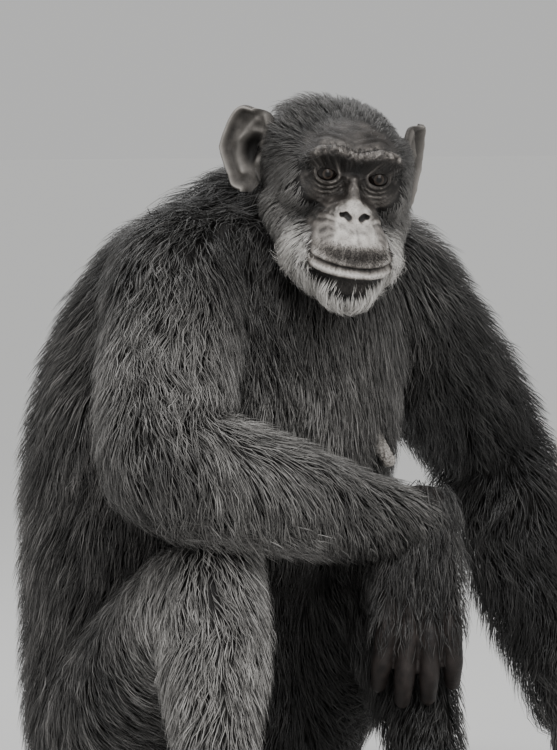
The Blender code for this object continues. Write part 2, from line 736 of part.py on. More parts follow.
def loft_locks(loft, lie, length, width, rows, draw, fall):
    """The locks on a loft. lie is 1 where the coat runs along the loft and -1 where it runs back down it,
    and fall turns the locks towards the underside as they run."""
    spine = [Vector(spline(loft.centres, i / 40)) for i in range(41)]
    reach = sum((b - a).length for a, b in zip(spine, spine[1:]))
    for row, t_root in enumerate(rows):
        sizes = spline(loft.sizes, t_root)
        round_length = math.pi * (sizes[0] + (sizes[1] + sizes[2]) / 2 + sizes[3] + sizes[4])
        count = max(4, round(round_length / (width * LOCK_STEP)))
        for i in range(count):
            angle = 2 * math.pi * (i + 0.5 * (row % 2) + draw.uniform(-0.18, 0.18)) / count
            size = draw.uniform(0.88, 1.12)
            turn = fall * math.cos(angle)
            rings = []
            for run, share, taper, thick in LOCK_RUN:
                t = t_root + lie * run * length * size / reach
                a = angle - turn * max(0, run)
                aside = width * taper / (sizes[0] + sizes[1])
                middle, left, right = (loft_point(loft, t, a + k * aside, share, reach) for k in (0, -1, 1))
                out = (middle - loft.frame(t)[0]).normalized()
                if share == CORE_SHARE:
                    middle, left, right = (p - out * LOCK_SUNK for p in (middle, left, right))
                rings.append([left, middle + out * LOCK_THICK * thick, right])
            yield rings[:-1], rings[-1][1]


def loft_point(loft, t, angle, share, reach):
    """A point on a loft, or past its end, where the surface draws in."""
    if 0 <= t <= 1:
        return loft.point(t, angle, share)
    end = 1 if t > 1 else 0
    here, along, _, _ = loft.frame(end)
    over = (t - end) * reach
    point = loft.point(end, angle, share)
    return point + along * over + (here - point) * min(0.7, abs(over) / 0.12)


HEAD_LOCKS = [
    # Rows of roots: across, back and up on the head, the way the hair runs, and its length and width in mm.
    [((x, -44 + abs(x) * 0.9, -112), (x * 0.012, 0.10, -1.0), 24, 17) for x in (-30, -15, 0, 15, 30)],
    [((s * 47, 22, z), (s * 0.35, 0.55, -0.8), 30, 24) for s in (-1, 1) for z in (-84, -56, -28)],
    [((s * 56, 50, z), (s * 0.30, 0.70, -0.7), 32, 26) for s in (-1, 1) for z in (-70, -40)],
    [((x, 34, 52), (x * 0.012, 1.0, 0.25), 34, 28) for x in (-44, -15, 15, 44)],
    [((x, 72, 58), (x * 0.010, 1.0, -0.1), 34, 28) for x in (-50, -26, 0, 26, 50)],
    [((x, 112, 44), (x * 0.010, 0.8, -0.6), 34, 28) for x in (-34, 0, 34)],
]


def head_locks():
    """Paths of the beard, the whiskers and the hair of the crown, which all lie close."""
    inside = np.array(HEAD_MIDDLE, float)
    place = head_place()

    def surface(point, lift):
        ray = np.array(point, float) - inside
        ray /= np.linalg.norm(ray)
        reach = 190.0
        for _ in range(60):
            reach -= float(np.clip(head_distance((inside + ray * reach)[None])[0], -6, 60)) * 0.7
        return Vector(inside + ray * (reach + lift)), Vector(ray)

    for row in HEAD_LOCKS:
        for root, way, length, width in row:
            way = Vector(way).normalized()
            rings = []
            aside = way.cross(surface(root, 0)[1]).normalized()
            for (run, _, taper, thick), lift in zip(LOCK_RUN, (-6.0, 7.0, 10.0, 12.0)):
                along = Vector(root) + way * run * length
                middle, out = surface(along, lift)
                left, right = (surface(along + aside * k * width * taper, lift)[0] for k in (-1, 1))
                top = middle + out * thick * HEAD_LOCK_THICK
                rings.append([place @ p for p in (left, top, right)])
            yield rings[:-1], rings[-1][1]


def wanted_locks():
    """Every haired node's locks, before they are fitted to the nodes round it."""
    draw = random.Random(SEED)
    wanted = {"head": list(head_locks())}
    for name, (loft, _) in lofts(CORE_SHARE).items():
        kind = name.replace("_right", "").replace("_left", "")
        if kind in LOCKS:
            fall = FALL if name == "forearm_right" else 0.0
            lie = -1 if name == "torso" else 1
            wanted[name] = list(loft_locks(loft, lie, *LOCKS[kind], draw, fall))
    return wanted


def dress(nodes, cutters):
    """Fuses the locks to the haired nodes. A lock is cut clear of the other nodes' cores, and where it
    would come near another node's locks it is made shorter or left out."""
    cores = {name: tree_of(obj.data) for name, obj in nodes.items()}
    knives = {name: grown(obj, LOCK_ROOM, cutters) for name, obj in nodes.items()}
    knife_trees = {name: tree_of(knife.data) for name, knife in knives.items()}
    placed = []
    for name, wanted in wanted_locks().items():
        others = [other for other in nodes if other != name]
        dressed = []
        for rings, tip in wanted:
            root = rings[0][0].lerp(rings[0][2], 0.5)
            middles = [ring[0].lerp(ring[2], 0.5) for ring in rings[1:]]
            if depth_in(cores[name], root) < LOCK_SUNK * ROOT_LEFT:
                continue
            if any(depth_in(cores[other], point) > 0 for other in others for point in middles):
                continue
            for size in LOCK_SIZES:
                lock = lock_mesh([[root.lerp(p, size) for p in ring] for ring in rings], root.lerp(tip, size))
                if min(vert.co.z for vert in lock.vertices) < FLOOR_ROOM:
                    continue
                tree = tree_of(lock)
                near = [knives[other] for other in others if tree.overlap(knife_trees[other])]
                if near:
                    lock = trimmed(lock, near, cutters, root)
                if lock is None:
                    continue
                tree = tree_of(swollen(lock, LOCK_ROOM))
                if any(other != name and tree.overlap(near_lock) for other, near_lock in placed):
                    continue
                dressed.append(lock)
                placed.append((name, tree_of(lock)))
                break
        fuse(nodes[name], dressed)


def swollen(mesh, by):
    """A copy of a mesh with its surface moved out."""
    bm = bmesh.new()
    bm.from_mesh(mesh)
    bm.normal_update()
    moves = [v.normal * by for v in bm.verts]
    for vert, move in zip(bm.verts, moves):
        vert.co += move
    made = bpy.data.meshes.new("swollen")
    bm.to_mesh(made)
    bm.free()
    return made


def trimmed(lock, knives, home, root):
    """The part of a lock that is left clear of its neighbours, or nothing where too little is."""
    obj = new_object("lock", lock, home)
    full = max((v.co - root).length for v in lock.vertices)
    cut(obj, knives)
    mesh = obj.data
    bpy.data.objects.remove(obj)
    if not mesh.vertices or min((v.co - root).length for v in mesh.vertices) > LOCK_SUNK * 1.5:
        return None
    left = max((v.co - root).length for v in mesh.vertices)
    return mesh if left > full * 0.5 else None


def depth_in(tree, point):
    """How deep a point is inside a closed surface: less than nothing outside it."""
    way = Vector((0.31, 0.87, 0.38)).normalized()
    hits, at = 0, point
    while True:
        found, _, _, _ = tree.ray_cast(at, way)
        if found is None:
            break
        hits += 1
        at = found + way * 1e-6
    distance = tree.find_nearest(point)[3]
    return distance if hits % 2 else -distance


def boxes_meet(a, b, margin=0.002):
    low_a, high_a = corners(a)
    low_b, high_b = corners(b)
    return bool(np.all(low_a - margin < high_b) and np.all(low_b - margin < high_a))


def corners(obj):
    points = np.empty(len(obj.data.vertices) * 3)
    obj.data.vertices.foreach_get("co", points)
    points = points.reshape(-1, 3)
    return points.min(0), points.max(0)


def finish(nodes, cutters):
    """Materials, smooth shading, and the origin at the middle of the floor under the whole."""
    looks = {"head": FACE_SKIN, "ear": FACE_SKIN, "eye": EYE_BALL, "hand": HAND_SKIN, "foot": HAND_SKIN}
    lows, highs = zip(*(corners(obj) for obj in nodes.values()))
    low, high = np.min(lows, axis=0), np.max(highs, axis=0)
    shift = Vector((-(low[0] + high[0]) / 2, -(low[1] + high[1]) / 2, -low[2]))
    for name, obj in nodes.items():
        obj.data.transform(Matrix.Translation(shift))
        obj.data.materials.clear()
        obj.data.materials.append(material(name, looks.get(name.split("_")[0], FUR)))
        obj.data.shade_smooth()
    for obj in list(cutters.objects):
        bpy.data.objects.remove(obj)
    bpy.data.collections.remove(cutters)


def main():
    clear_scene()
    part, cutters, nodes = build(CORE_SHARE)
    dress(nodes, cutters)
    finish(nodes, cutters)


main()
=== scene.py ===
"""The looks of a sitting chimpanzee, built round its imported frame. Run as a script in Blender 4.5.

The skin is made from the same named sizes as the solids, and the coat is scattered on it: each tuft is a
thin closed blade that lies along the body. Metres, +Z up, the animal faces -Y and its left is +X.
"""
import json
import math

import bmesh
import bpy
import numpy as np
from bpy.props import FloatProperty, FloatVectorProperty, IntProperty, PointerProperty
from mathutils import Matrix, Vector
from mathutils.bvhtree import BVHTree

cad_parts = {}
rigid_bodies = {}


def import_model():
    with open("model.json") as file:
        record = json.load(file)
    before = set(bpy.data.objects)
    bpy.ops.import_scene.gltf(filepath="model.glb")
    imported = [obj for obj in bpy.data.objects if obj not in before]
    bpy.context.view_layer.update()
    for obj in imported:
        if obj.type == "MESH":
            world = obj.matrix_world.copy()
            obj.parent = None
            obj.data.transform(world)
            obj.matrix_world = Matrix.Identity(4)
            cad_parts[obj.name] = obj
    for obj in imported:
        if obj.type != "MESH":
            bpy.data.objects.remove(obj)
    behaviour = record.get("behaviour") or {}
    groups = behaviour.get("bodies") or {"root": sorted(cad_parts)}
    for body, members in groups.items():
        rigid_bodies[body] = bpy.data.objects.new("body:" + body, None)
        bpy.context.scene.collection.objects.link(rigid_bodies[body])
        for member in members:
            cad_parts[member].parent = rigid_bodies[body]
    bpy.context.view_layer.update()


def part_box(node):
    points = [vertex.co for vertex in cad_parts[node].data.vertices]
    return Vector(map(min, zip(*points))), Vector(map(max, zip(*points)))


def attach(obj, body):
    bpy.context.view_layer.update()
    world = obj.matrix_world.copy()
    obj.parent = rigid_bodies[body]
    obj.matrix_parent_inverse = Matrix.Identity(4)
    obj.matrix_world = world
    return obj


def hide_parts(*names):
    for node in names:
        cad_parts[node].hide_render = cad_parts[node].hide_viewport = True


bl_info = {
    "name": "Sitting chimpanzee",
    "version": (1, 0, 0),
    "blender": (4, 5, 0),
    "location": "View3D > Sidebar > Chimpanzee",
    "description": "Skin, eyes, ears, hands, feet and coat of a sitting chimpanzee, with its stage",
    "category": "Object",
}

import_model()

MM = 0.001
UP = np.array([0.0, 0.0, 1.0])
SKIN_LEVEL, BLADE_LEVEL, ROOT_LEVEL = 0.0004, 0.002, 0.0005  # how low skin, tufts and their roots reach

# Joints of the skeleton, before the model is moved to the middle of its box.
HIP_R, KNEE_R, ANKLE_R = (-0.085, 0.000, 0.115), (-0.160, -0.232, 0.290), (-0.218, -0.306, 0.072)
HIP_L, KNEE_L, ANKLE_L = (0.085, -0.010, 0.115), (0.070, -0.244, 0.300), (0.066, -0.300, 0.072)
SHOULDER_R, ELBOW_R, WRIST_R = (-0.108, -0.112, 0.580), (-0.233, -0.236, 0.408), (0.046, -0.306, 0.340)
SHOULDER_L, ELBOW_L, WRIST_L = (0.156, -0.112, 0.574), (0.372, -0.046, 0.398), (0.438, -0.100, 0.112)
MID_EYES = (-0.016, -0.274, 0.684)
HEAD_YAW, HEAD_PITCH, HEAD_ROLL = math.radians(-30), math.radians(10), math.radians(6.5)
EYE_RADIUS = 12.3
EYE_CENTRE = (26.3, 12.3, 0.0)
HEAD_MIDDLE = (0.0, 30.0, -22.0)


def head_turn():
    """From the head's frame, in millimetres, to the body's, in metres."""
    turn = (
        Matrix.Rotation(HEAD_YAW, 4, "Z")
        @ Matrix.Rotation(HEAD_PITCH, 4, "X")
        @ Matrix.Rotation(HEAD_ROLL, 4, "Y")
    )
    return Matrix.Translation(MID_EYES) @ turn @ Matrix.Scale(MM, 4)


def model_shift():
    """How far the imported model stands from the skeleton's own frame, read from its two eyes."""
    found = Vector((0, 0, 0))
    for side, sign in (("right", -1), ("left", 1)):
        low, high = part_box(f"eye_{side}")
        middle = (Vector(low) + Vector(high)) / 2
        found += middle - head_turn() @ Vector((sign * EYE_CENTRE[0], EYE_CENTRE[1], EYE_CENTRE[2]))
    found /= 2
    found.z = 0.0
    return found


SHIFT = np.array(model_shift())


def placed(point):
    return np.array(point, float) + SHIFT


def head_place():
    return Matrix.Translation(Vector(SHIFT)) @ head_turn()


# Helpers for colours, materials and meshes.

def srgb(code):
    """A hex colour as linear red, green, blue and alpha."""
    values = [int(code[i:i + 2], 16) / 255 for i in (1, 3, 5)]
    return tuple(v / 12.92 if v <= 0.04045 else ((v + 0.055) / 1.055) ** 2.4 for v in values) + (1.0,)


def as_colour(value):
    """A colour from a hex code, a grey number or a colour setting."""
    if isinstance(value, str):
        return srgb(value)
    return (value, value, value, 1.0) if isinstance(value, (int, float)) else tuple(value)


def add_node(tree, kind, links=None, **settings):
    """Adds a node. Settings name its properties or sockets, and links gives the sockets that feed it."""
    node = tree.nodes.new(kind)
    for name, value in settings.items():
        if hasattr(node, name):
            setattr(node, name, value)
        else:
            node.inputs[name.replace("_", " ")].default_value = value
    for socket, source in (links or {}).items():
        tree.links.new(source, node.inputs[socket])
    return node


def new_material(name, **settings):
    """A named material with its tree, its Principled shader and constant values on the shader's sockets."""
    made = bpy.data.materials.new(name)
    made.use_nodes = True
    tree = made.node_tree
    shader = tree.nodes["Principled BSDF"]
    for socket, value in settings.items():
        shader.inputs[socket.replace("_", " ")].default_value = value
    return made, tree, shader


def ramp(tree, source, stops):
    """A colour ramp over (place, colour) stops."""
    node = add_node(tree, "ShaderNodeValToRGB", {"Fac": source})
    band = node.color_ramp
    while len(band.elements) < len(stops):
        band.elements.new(0.5)
    for element, (place, colour) in zip(band.elements, stops):
        element.position = place
        element.color = as_colour(colour)
    return node.outputs["Color"]


def mixed(tree, amount, first, second, kind="MIX"):
    """Two colours mixed. A colour may be a socket, a hex code, a grey number or a setting."""
    node = tree.nodes.new("ShaderNodeMix")
    node.data_type, node.blend_type = "RGBA", kind
    for socket, value in ((node.inputs[6], first), (node.inputs[7], second)):
        if isinstance(value, bpy.types.NodeSocket):
            tree.links.new(value, socket)
        else:
            socket.default_value = as_colour(value)
    if isinstance(amount, (int, float)):
        node.inputs[0].default_value = amount
    else:
        tree.links.new(amount, node.inputs[0])
    return node.outputs[2]


def attribute(tree, name):
    return add_node(tree, "ShaderNodeAttribute", attribute_name=name).outputs["Fac"]


def finished(made, tree, shader, colour, shown, height=None, strength=0.5, distance=0.001):
    """Feeds a colour, and a height for fine relief, to the shader, and sets the colour of the plain view."""
    tree.links.new(colour, shader.inputs["Base Color"])
    if height:
        bump = add_node(tree, "ShaderNodeBump", {"Height": height}, Strength=strength, Distance=distance)
        tree.links.new(bump.outputs["Normal"], shader.inputs["Normal"])
    made.diffuse_color = as_colour(shown)
    return made


def linked(name, data):
    """A new object in the scene."""
    obj = bpy.data.objects.new(name, data)
    bpy.context.scene.collection.objects.link(obj)
    return obj


def new_piece(name, mesh, look, slot, *nodes):
    """Links a finished mesh, gives it its material and ties it to the frame."""
    obj = linked(name, mesh)
    mesh.materials.clear()
    mesh.materials.append(look)
    mesh.shade_smooth()
    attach(obj, "root")
    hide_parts(*nodes)
    return obj


def released(bm, name):
    """A mesh from a bmesh, which is freed."""
    mesh = bpy.data.meshes.new(name)
    bm.to_mesh(mesh)
    bm.free()
    return mesh


def ball(subdivisions, radius):
    """The points and triangles of a ball."""
    bm = bmesh.new()
    bmesh.ops.create_icosphere(bm, subdivisions=subdivisions, radius=radius)
    points = np.array([v.co for v in bm.verts])
    faces = np.array([[v.index for v in f.verts] for f in bm.faces])
    bm.free()
    return points, faces


def array_mesh(name, points, faces):
    """A mesh from an array of points and an array of triangles or quads."""
    mesh = bpy.data.meshes.new(name)
    corners = faces.shape[1]
    mesh.vertices.add(len(points))
    mesh.vertices.foreach_set("co", np.ascontiguousarray(points, np.float32).ravel())
    mesh.loops.add(faces.size)
    mesh.loops.foreach_set("vertex_index", np.ascontiguousarray(faces, np.int32).ravel())
    mesh.polygons.add(len(faces))
    mesh.polygons.foreach_set("loop_start", np.arange(0, faces.size, corners, dtype=np.int32))
    mesh.update(calc_edges=True)
    return mesh


def point_values(mesh, name, values):
    layer = mesh.attributes.new(name, "FLOAT", "POINT")
    layer.data.foreach_set("value", np.ascontiguousarray(values, np.float32))


def mesh_points(mesh):
    points = np.empty(len(mesh.vertices) * 3, np.float32)
    mesh.vertices.foreach_get("co", points)
    return points.reshape(-1, 3).astype(float)


def set_points(mesh, points):
    mesh.vertices.foreach_set("co", points.astype(np.float32).ravel())


def vertex_normals(mesh):
    return np.array([v.normal for v in mesh.vertices])


def unit(v):
    return v / np.maximum(np.linalg.norm(v, axis=-1, keepdims=True), 1e-12)


def dots(a, b):
    return np.einsum("ij,ij->i", a, b)


def square_to(way, axis):
    """The part of each way that is square to its axis, as a unit vector."""
    return unit(way - axis * dots(way, axis)[:, None])


def fade(value):
    """A value held between 0 and 1."""
    return np.clip(value, 0, 1)


def peak(value, width):
    """One where the value is nothing, and nothing well outside the width."""
    return np.exp(-(value / width) ** 2)


def soft_spot(u, v, power=2):
    """One at the middle of a spot and nothing well outside it."""
    return np.exp(-(u * u + v * v) ** (power / 2))


def moved(points, matrix):
    matrix = np.array(matrix)
    return points @ matrix[:3, :3].T + matrix[:3, 3]


def wander(points, size, seed):
    """Smooth noise, about -1 to 1, that changes over size: a few crossed waves with random ways and
    phases."""
    draw = np.random.default_rng(seed)
    total = np.zeros(len(points))
    for k in range(6):
        way = unit(draw.normal(size=3)) * (2 * math.pi / size) * draw.uniform(0.6, 1.5)
        total += np.sin(points @ way + draw.uniform(0, 2 * math.pi))
    return total / 2.6


# Body parts as lofts: elliptical rings along a curve.

def curve(values, t):
    """A smooth curve through evenly spaced rows of values, read at every t from 0 to 1."""
    values = np.asarray(values, float)
    last = len(values) - 1
    at = fade(t) * last
    i = np.minimum(at.astype(int), last - 1)
    f = (at - i)[:, None]
    a, b = values[i], values[i + 1]
    before = np.where((i > 0)[:, None], values[np.maximum(i - 1, 0)], 2 * a - b)
    after = np.where((i + 2 <= last)[:, None], values[np.minimum(i + 2, last)], 2 * b - a)
    return 0.5 * (
        2 * a + (b - before) * f
        + (2 * before - 5 * a + 4 * b - after) * f * f
        + (3 * a - before - 3 * b + after) * f ** 3
    )


class Limb:
    """A body part. Each row is a centre, a half width, the half depths in front and behind, and the coat's
    depth in front and behind. side is the width's way."""

    def __init__(self, rows, side, lie=1.0, fall=0.0, length=0.05, dome=0.6):
        self.rows = np.array([[*placed(row[0]), *row[1:]] for row in rows], float)
        self.side = unit(np.array(side, float))
        self.lie, self.fall, self.length, self.dome = lie, fall, length, dome
        self.samples = np.linspace(0, 1, 61)
        self.centres, self.alongs, self.sides, self.fronts = self.frames(self.samples)
        self.sizes = curve(self.rows, self.samples)[:, 3:]

    def frames(self, t):
        here = curve(self.rows, t)[:, :3]
        ahead = curve(self.rows, np.minimum(1, t + 0.02))[:, :3]
        behind = curve(self.rows, np.maximum(0, t - 0.02))[:, :3]
        along = unit(ahead - behind)
        side = unit(self.side - along * (along @ self.side)[:, None])
        return here, along, side, np.cross(along, side)

    def points(self, t, angle):
        here, _, side, front = self.frames(t)
        width, fore, back = curve(self.rows, t)[:, 3:6].T
        depth = np.where(np.sin(angle) > 0, fore, back)
        return here + side * (np.cos(angle) * width)[:, None] + front * (np.sin(angle) * depth)[:, None]

    def mesh(self, bm, rings=24, sides=28):
        """Adds the closed loft to a bmesh, with a domed cap at each end."""
        angles = np.linspace(0, 2 * math.pi, sides, endpoint=False)
        loops = [self.points(np.full(sides, t), angles) for t in np.linspace(0, 1, rings)]
        ends = []
        for t, sign, loop in ((0.0, -1, loops[0]), (1.0, 1, loops[-1])):
            here, along = (v[0] for v in self.frames(np.array([t]))[:2])
            size = float(np.mean(curve(self.rows, np.array([t]))[0, 3:6])) * self.dome
            caps = [here + (loop - here) * keep + along * sign * size * rise
                    for keep, rise in ((0.92, 0.39), (0.72, 0.69), (0.40, 0.92))]
            ends.append((caps, here + along * sign * size))
        loops = ends[0][0][::-1] + loops + ends[1][0]
        made = [[bm.verts.new(p) for p in loop] for loop in loops]
        for first, second in zip(made, made[1:]):
            for i in range(sides):
                j = (i + 1) % sides
                bm.faces.new((first[i], first[j], second[j], second[i]))
        for loop, (_, pole) in ((made[0], ends[0]), (made[-1], ends[1])):
            tip = bm.verts.new(pole)
            for i in range(sides):
                bm.faces.new((loop[i], loop[(i + 1) % sides], tip))

    def locate(self, points):
        """For each point: the sample it is nearest to, its angle round the axis and its distance to the
        skin."""
        gap = np.empty((len(points), len(self.samples)))
        for k, centre in enumerate(self.centres):
            gap[:, k] = dots(points - centre, points - centre)
        at = gap.argmin(1)
        rel = points - self.centres[at]
        width, fore, back, coat_fore, coat_back = self.sizes[at].T
        x, y = dots(rel, self.sides[at]), dots(rel, self.fronts[at])
        depth = np.where(y > 0, fore, back)
        angle = np.arctan2(y / depth, x / width)
        reach = np.hypot(np.cos(angle) * width, np.sin(angle) * depth)
        coat = (coat_fore + coat_back) / 2 + (coat_fore - coat_back) / 2 * np.sin(angle)
        return at, angle, np.linalg.norm(rel, axis=1) - reach, coat

    def flow(self, at):
        """The way the coat lies at a place: along the limb, and down where it hangs."""
        return self.alongs[at] * self.lie - UP * self.fall


def between(a, b, t):
    return np.array(a, float) + (np.array(b, float) - np.array(a, float)) * t


def round_rows(points, radii, fore=(0.0,), back=None):
    back = back or fore
    spots = np.linspace(0, 1, len(points))
    fores = np.interp(spots, np.linspace(0, 1, len(fore)), fore)
    backs = np.interp(spots, np.linspace(0, 1, len(back)), back)
    return [(p, r, r, r, f, b) for p, r, f, b in zip(points, radii, fores, backs)]


# The trunk from the seat to the base of the neck, and the neck.
TORSO = (
    # x, y, z, half width, belly, back, coat in front, coat behind
    (0.000, 0.012, 0.020, 0.108, 0.092, 0.088, 0.014, 0.022),
    (0.000, 0.008, 0.060, 0.150, 0.122, 0.122, 0.014, 0.024),
    (0.000, 0.000, 0.130, 0.164, 0.140, 0.144, 0.014, 0.026),
    (0.000, -0.010, 0.215, 0.168, 0.142, 0.156, 0.014, 0.028),
    (0.000, -0.022, 0.305, 0.174, 0.142, 0.170, 0.014, 0.028),
    (0.002, -0.042, 0.395, 0.181, 0.136, 0.176, 0.016, 0.030),
    (0.006, -0.068, 0.480, 0.178, 0.126, 0.168, 0.018, 0.030),
    (0.010, -0.094, 0.555, 0.160, 0.108, 0.148, 0.018, 0.028),
    (0.010, -0.108, 0.612, 0.138, 0.080, 0.124, 0.018, 0.026),
    (0.007, -0.108, 0.648, 0.104, 0.052, 0.100, 0.018, 0.024),
    (0.003, -0.110, 0.668, 0.058, 0.028, 0.055, 0.016, 0.022),
)
NECK = (
    (0.012, -0.130, 0.600, 0.066, 0.060, 0.064, 0.018, 0.020),
    (0.017, -0.155, 0.632, 0.064, 0.058, 0.062, 0.018, 0.020),
    (0.021, -0.180, 0.655, 0.060, 0.052, 0.058, 0.014, 0.018),
    (0.024, -0.200, 0.676, 0.050, 0.044, 0.048, 0.010, 0.014),
)


def upper_arm_rows(shoulder, elbow, inward):
    points = [np.array(shoulder) + (inward * 0.030, 0.006, 0.016)]
    points += [between(shoulder, elbow, t) for t in (0, 0.30, 0.62, 0.88, 1)]
    return round_rows(points, [0.046, 0.058, 0.059, 0.055, 0.048, 0.042], (0.022, 0.022, 0.024, 0.026))


def forearm_rows(elbow, wrist, fore, back):
    points = [between(elbow, wrist, t) for t in (-0.06, 0.06, 0.25, 0.5, 0.75, 0.93, 1.0)]
    return round_rows(points, [0.038, 0.047, 0.050, 0.044, 0.033, 0.027, 0.025], fore, back)


def thigh_rows(hip, knee):
    points = [between(hip, knee, t) for t in (-0.08, 0.15, 0.42, 0.70, 0.92, 1.02)]
    return round_rows(points, [0.080, 0.084, 0.074, 0.060, 0.048, 0.038], (0.024, 0.024, 0.022, 0.020))


def shin_rows(knee, ankle, back):
    calf = [0.0, 0.002, 0.010, 0.006, 0.0, 0.0]
    places = (-0.10, 0.10, 0.32, 0.58, 0.84, 1.02)
    points = [between(knee, ankle, t) + np.array(back) * c for t, c in zip(places, calf)]
    return round_rows(points, [0.034, 0.042, 0.044, 0.036, 0.029, 0.028], (0.018, 0.020, 0.018, 0.014))


def limbs():
    """Every haired part of the body, with the way and the length of its coat."""
    wide_right = np.cross(UP, np.array(WRIST_R) - np.array(ELBOW_R))
    wide_left = np.cross(UP, np.array(WRIST_L) - np.array(ELBOW_L))
    x = (1, 0, 0)
    hanging = forearm_rows(ELBOW_R, WRIST_R, (0.022, 0.012, 0.010), (0.026, 0.030, 0.018))
    propped = forearm_rows(ELBOW_L, WRIST_L, (0.024, 0.022, 0.012), (0.026, 0.026, 0.016))
    return {
        "torso": Limb([(row[:3], *row[3:]) for row in TORSO], (-1, 0, 0), -1, 0.4, 0.062, 0.35),
        "neck": Limb([(row[:3], *row[3:]) for row in NECK], (-1, 0, 0), -1, 0.3, 0.045, 0.3),
        "upper_arm_right": Limb(upper_arm_rows(SHOULDER_R, ELBOW_R, 1), UP, 1, 0.5, 0.060),
        "upper_arm_left": Limb(upper_arm_rows(SHOULDER_L, ELBOW_L, -1), UP, 1, 0.5, 0.060),
        "forearm_right": Limb(hanging, wide_right, 0.7, 0.9, 0.050, 0.5),
        "forearm_left": Limb(propped, wide_left, 1, 0.2, 0.056, 0.5),
        "thigh_right": Limb(thigh_rows(HIP_R, KNEE_R), x, 0.6, 0.8, 0.052),
        "thigh_left": Limb(thigh_rows(HIP_L, KNEE_L), x, 0.6, 0.8, 0.052),
        "shin_right": Limb(shin_rows(KNEE_R, ANKLE_R, unit(np.array((0.6, 0.8, 0)))), x, 1, 0.4, 0.044, 0.4),
        "shin_left": Limb(shin_rows(KNEE_L, ANKLE_L, (0, 1, 0)), x, 1, 0.4, 0.044, 0.4),
    }


LIMBS = limbs()
TEAT_ROOT, TEAT_TIP = (0.112, -0.152, 0.424), (0.124, -0.168, 0.391)


def teat_gap(points):
    """The distance from the nearer teat."""
    return np.minimum(*(np.linalg.norm(points - placed(teat_point(sign, 0.3)), axis=1) for sign in (-1, 1)))


def teat_point(sign, t):
    """A point of a teat's axis, from its root at 0 to its tip at 1, on the animal's left (1) or right
    (-1)."""
    point = between(TEAT_ROOT, TEAT_TIP, t)
    return point if sign > 0 else point * (-1, 1, 1) + (0.004, 0, 0)


def remeshed(bm, name, voxel, smooth):
    """One closed skin round everything in a bmesh."""
    bmesh.ops.recalc_face_normals(bm, faces=bm.faces)
    mesh = released(bm, name)
    obj = linked(name, mesh)
    shell = obj.modifiers.new("shell", "REMESH")
    shell.mode, shell.voxel_size, shell.adaptivity = "VOXEL", voxel, 0.0
    soft = obj.modifiers.new("soft", "SMOOTH")
    soft.factor, soft.iterations = 0.5, smooth
    made = bpy.data.meshes.new_from_object(obj.evaluated_get(bpy.context.evaluated_depsgraph_get()))
    bpy.data.objects.remove(obj)
    bpy.data.meshes.remove(mesh)
    made.name = name
    return made


def on_floor(mesh):
    """Flattens what would reach below the floor."""
    points = mesh_points(mesh)
    points[:, 2] = np.maximum(points[:, 2], SKIN_LEVEL)
    set_points(mesh, points)
    return mesh


# The head, as a distance in millimetres from its skin, in its own frame: X to the animal's left, Y
# backwards, Z up,
# and the origin midway between the fronts of the eyes.

def ellipsoid(p, centre, radii):
    q = (p - np.array(centre, float)) / np.array(radii, float)
    k0 = np.linalg.norm(q, axis=1)
    k1 = np.linalg.norm(q / np.array(radii, float), axis=1)
    return k0 * (k0 - 1) / np.maximum(k1, 1e-9)


def tube(p, points, radii):
    """Distance to a chain of tapering rods."""
    best = None
    for a, b, ra, rb in zip(points, points[1:], radii, radii[1:]):
        a, b = np.array(a, float), np.array(b, float)
        along = fade((p - a) @ (b - a) / ((b - a) @ (b - a)))
        near = np.linalg.norm(p - a - along[:, None] * (b - a), axis=1) - (ra + (rb - ra) * along)
        best = near if best is None else np.minimum(best, near)
    return best


def join(a, b, soft):
    h = fade(0.5 + 0.5 * (b - a) / soft)
    return b + (a - b) * h - soft * h * (1 - h)


def carve(a, b, soft):
    return -join(-a, b, soft)


BROW = [(0, -8.0, 18.5), (10, -10.5, 21.0), (24, -11.5, 24.5), (37, -6.0, 22.0), (48, 7, 12)]
MOUTH = [(0, -74.0, -78.5), (15, -70.5, -78.3), (28, -60.0, -77.5), (38, -44.0, -76.0), (43, -32.0, -73.0)]


def shifted(points, dy, dz):
    return [(x, y + dy, z + dz) for x, y, z in points]


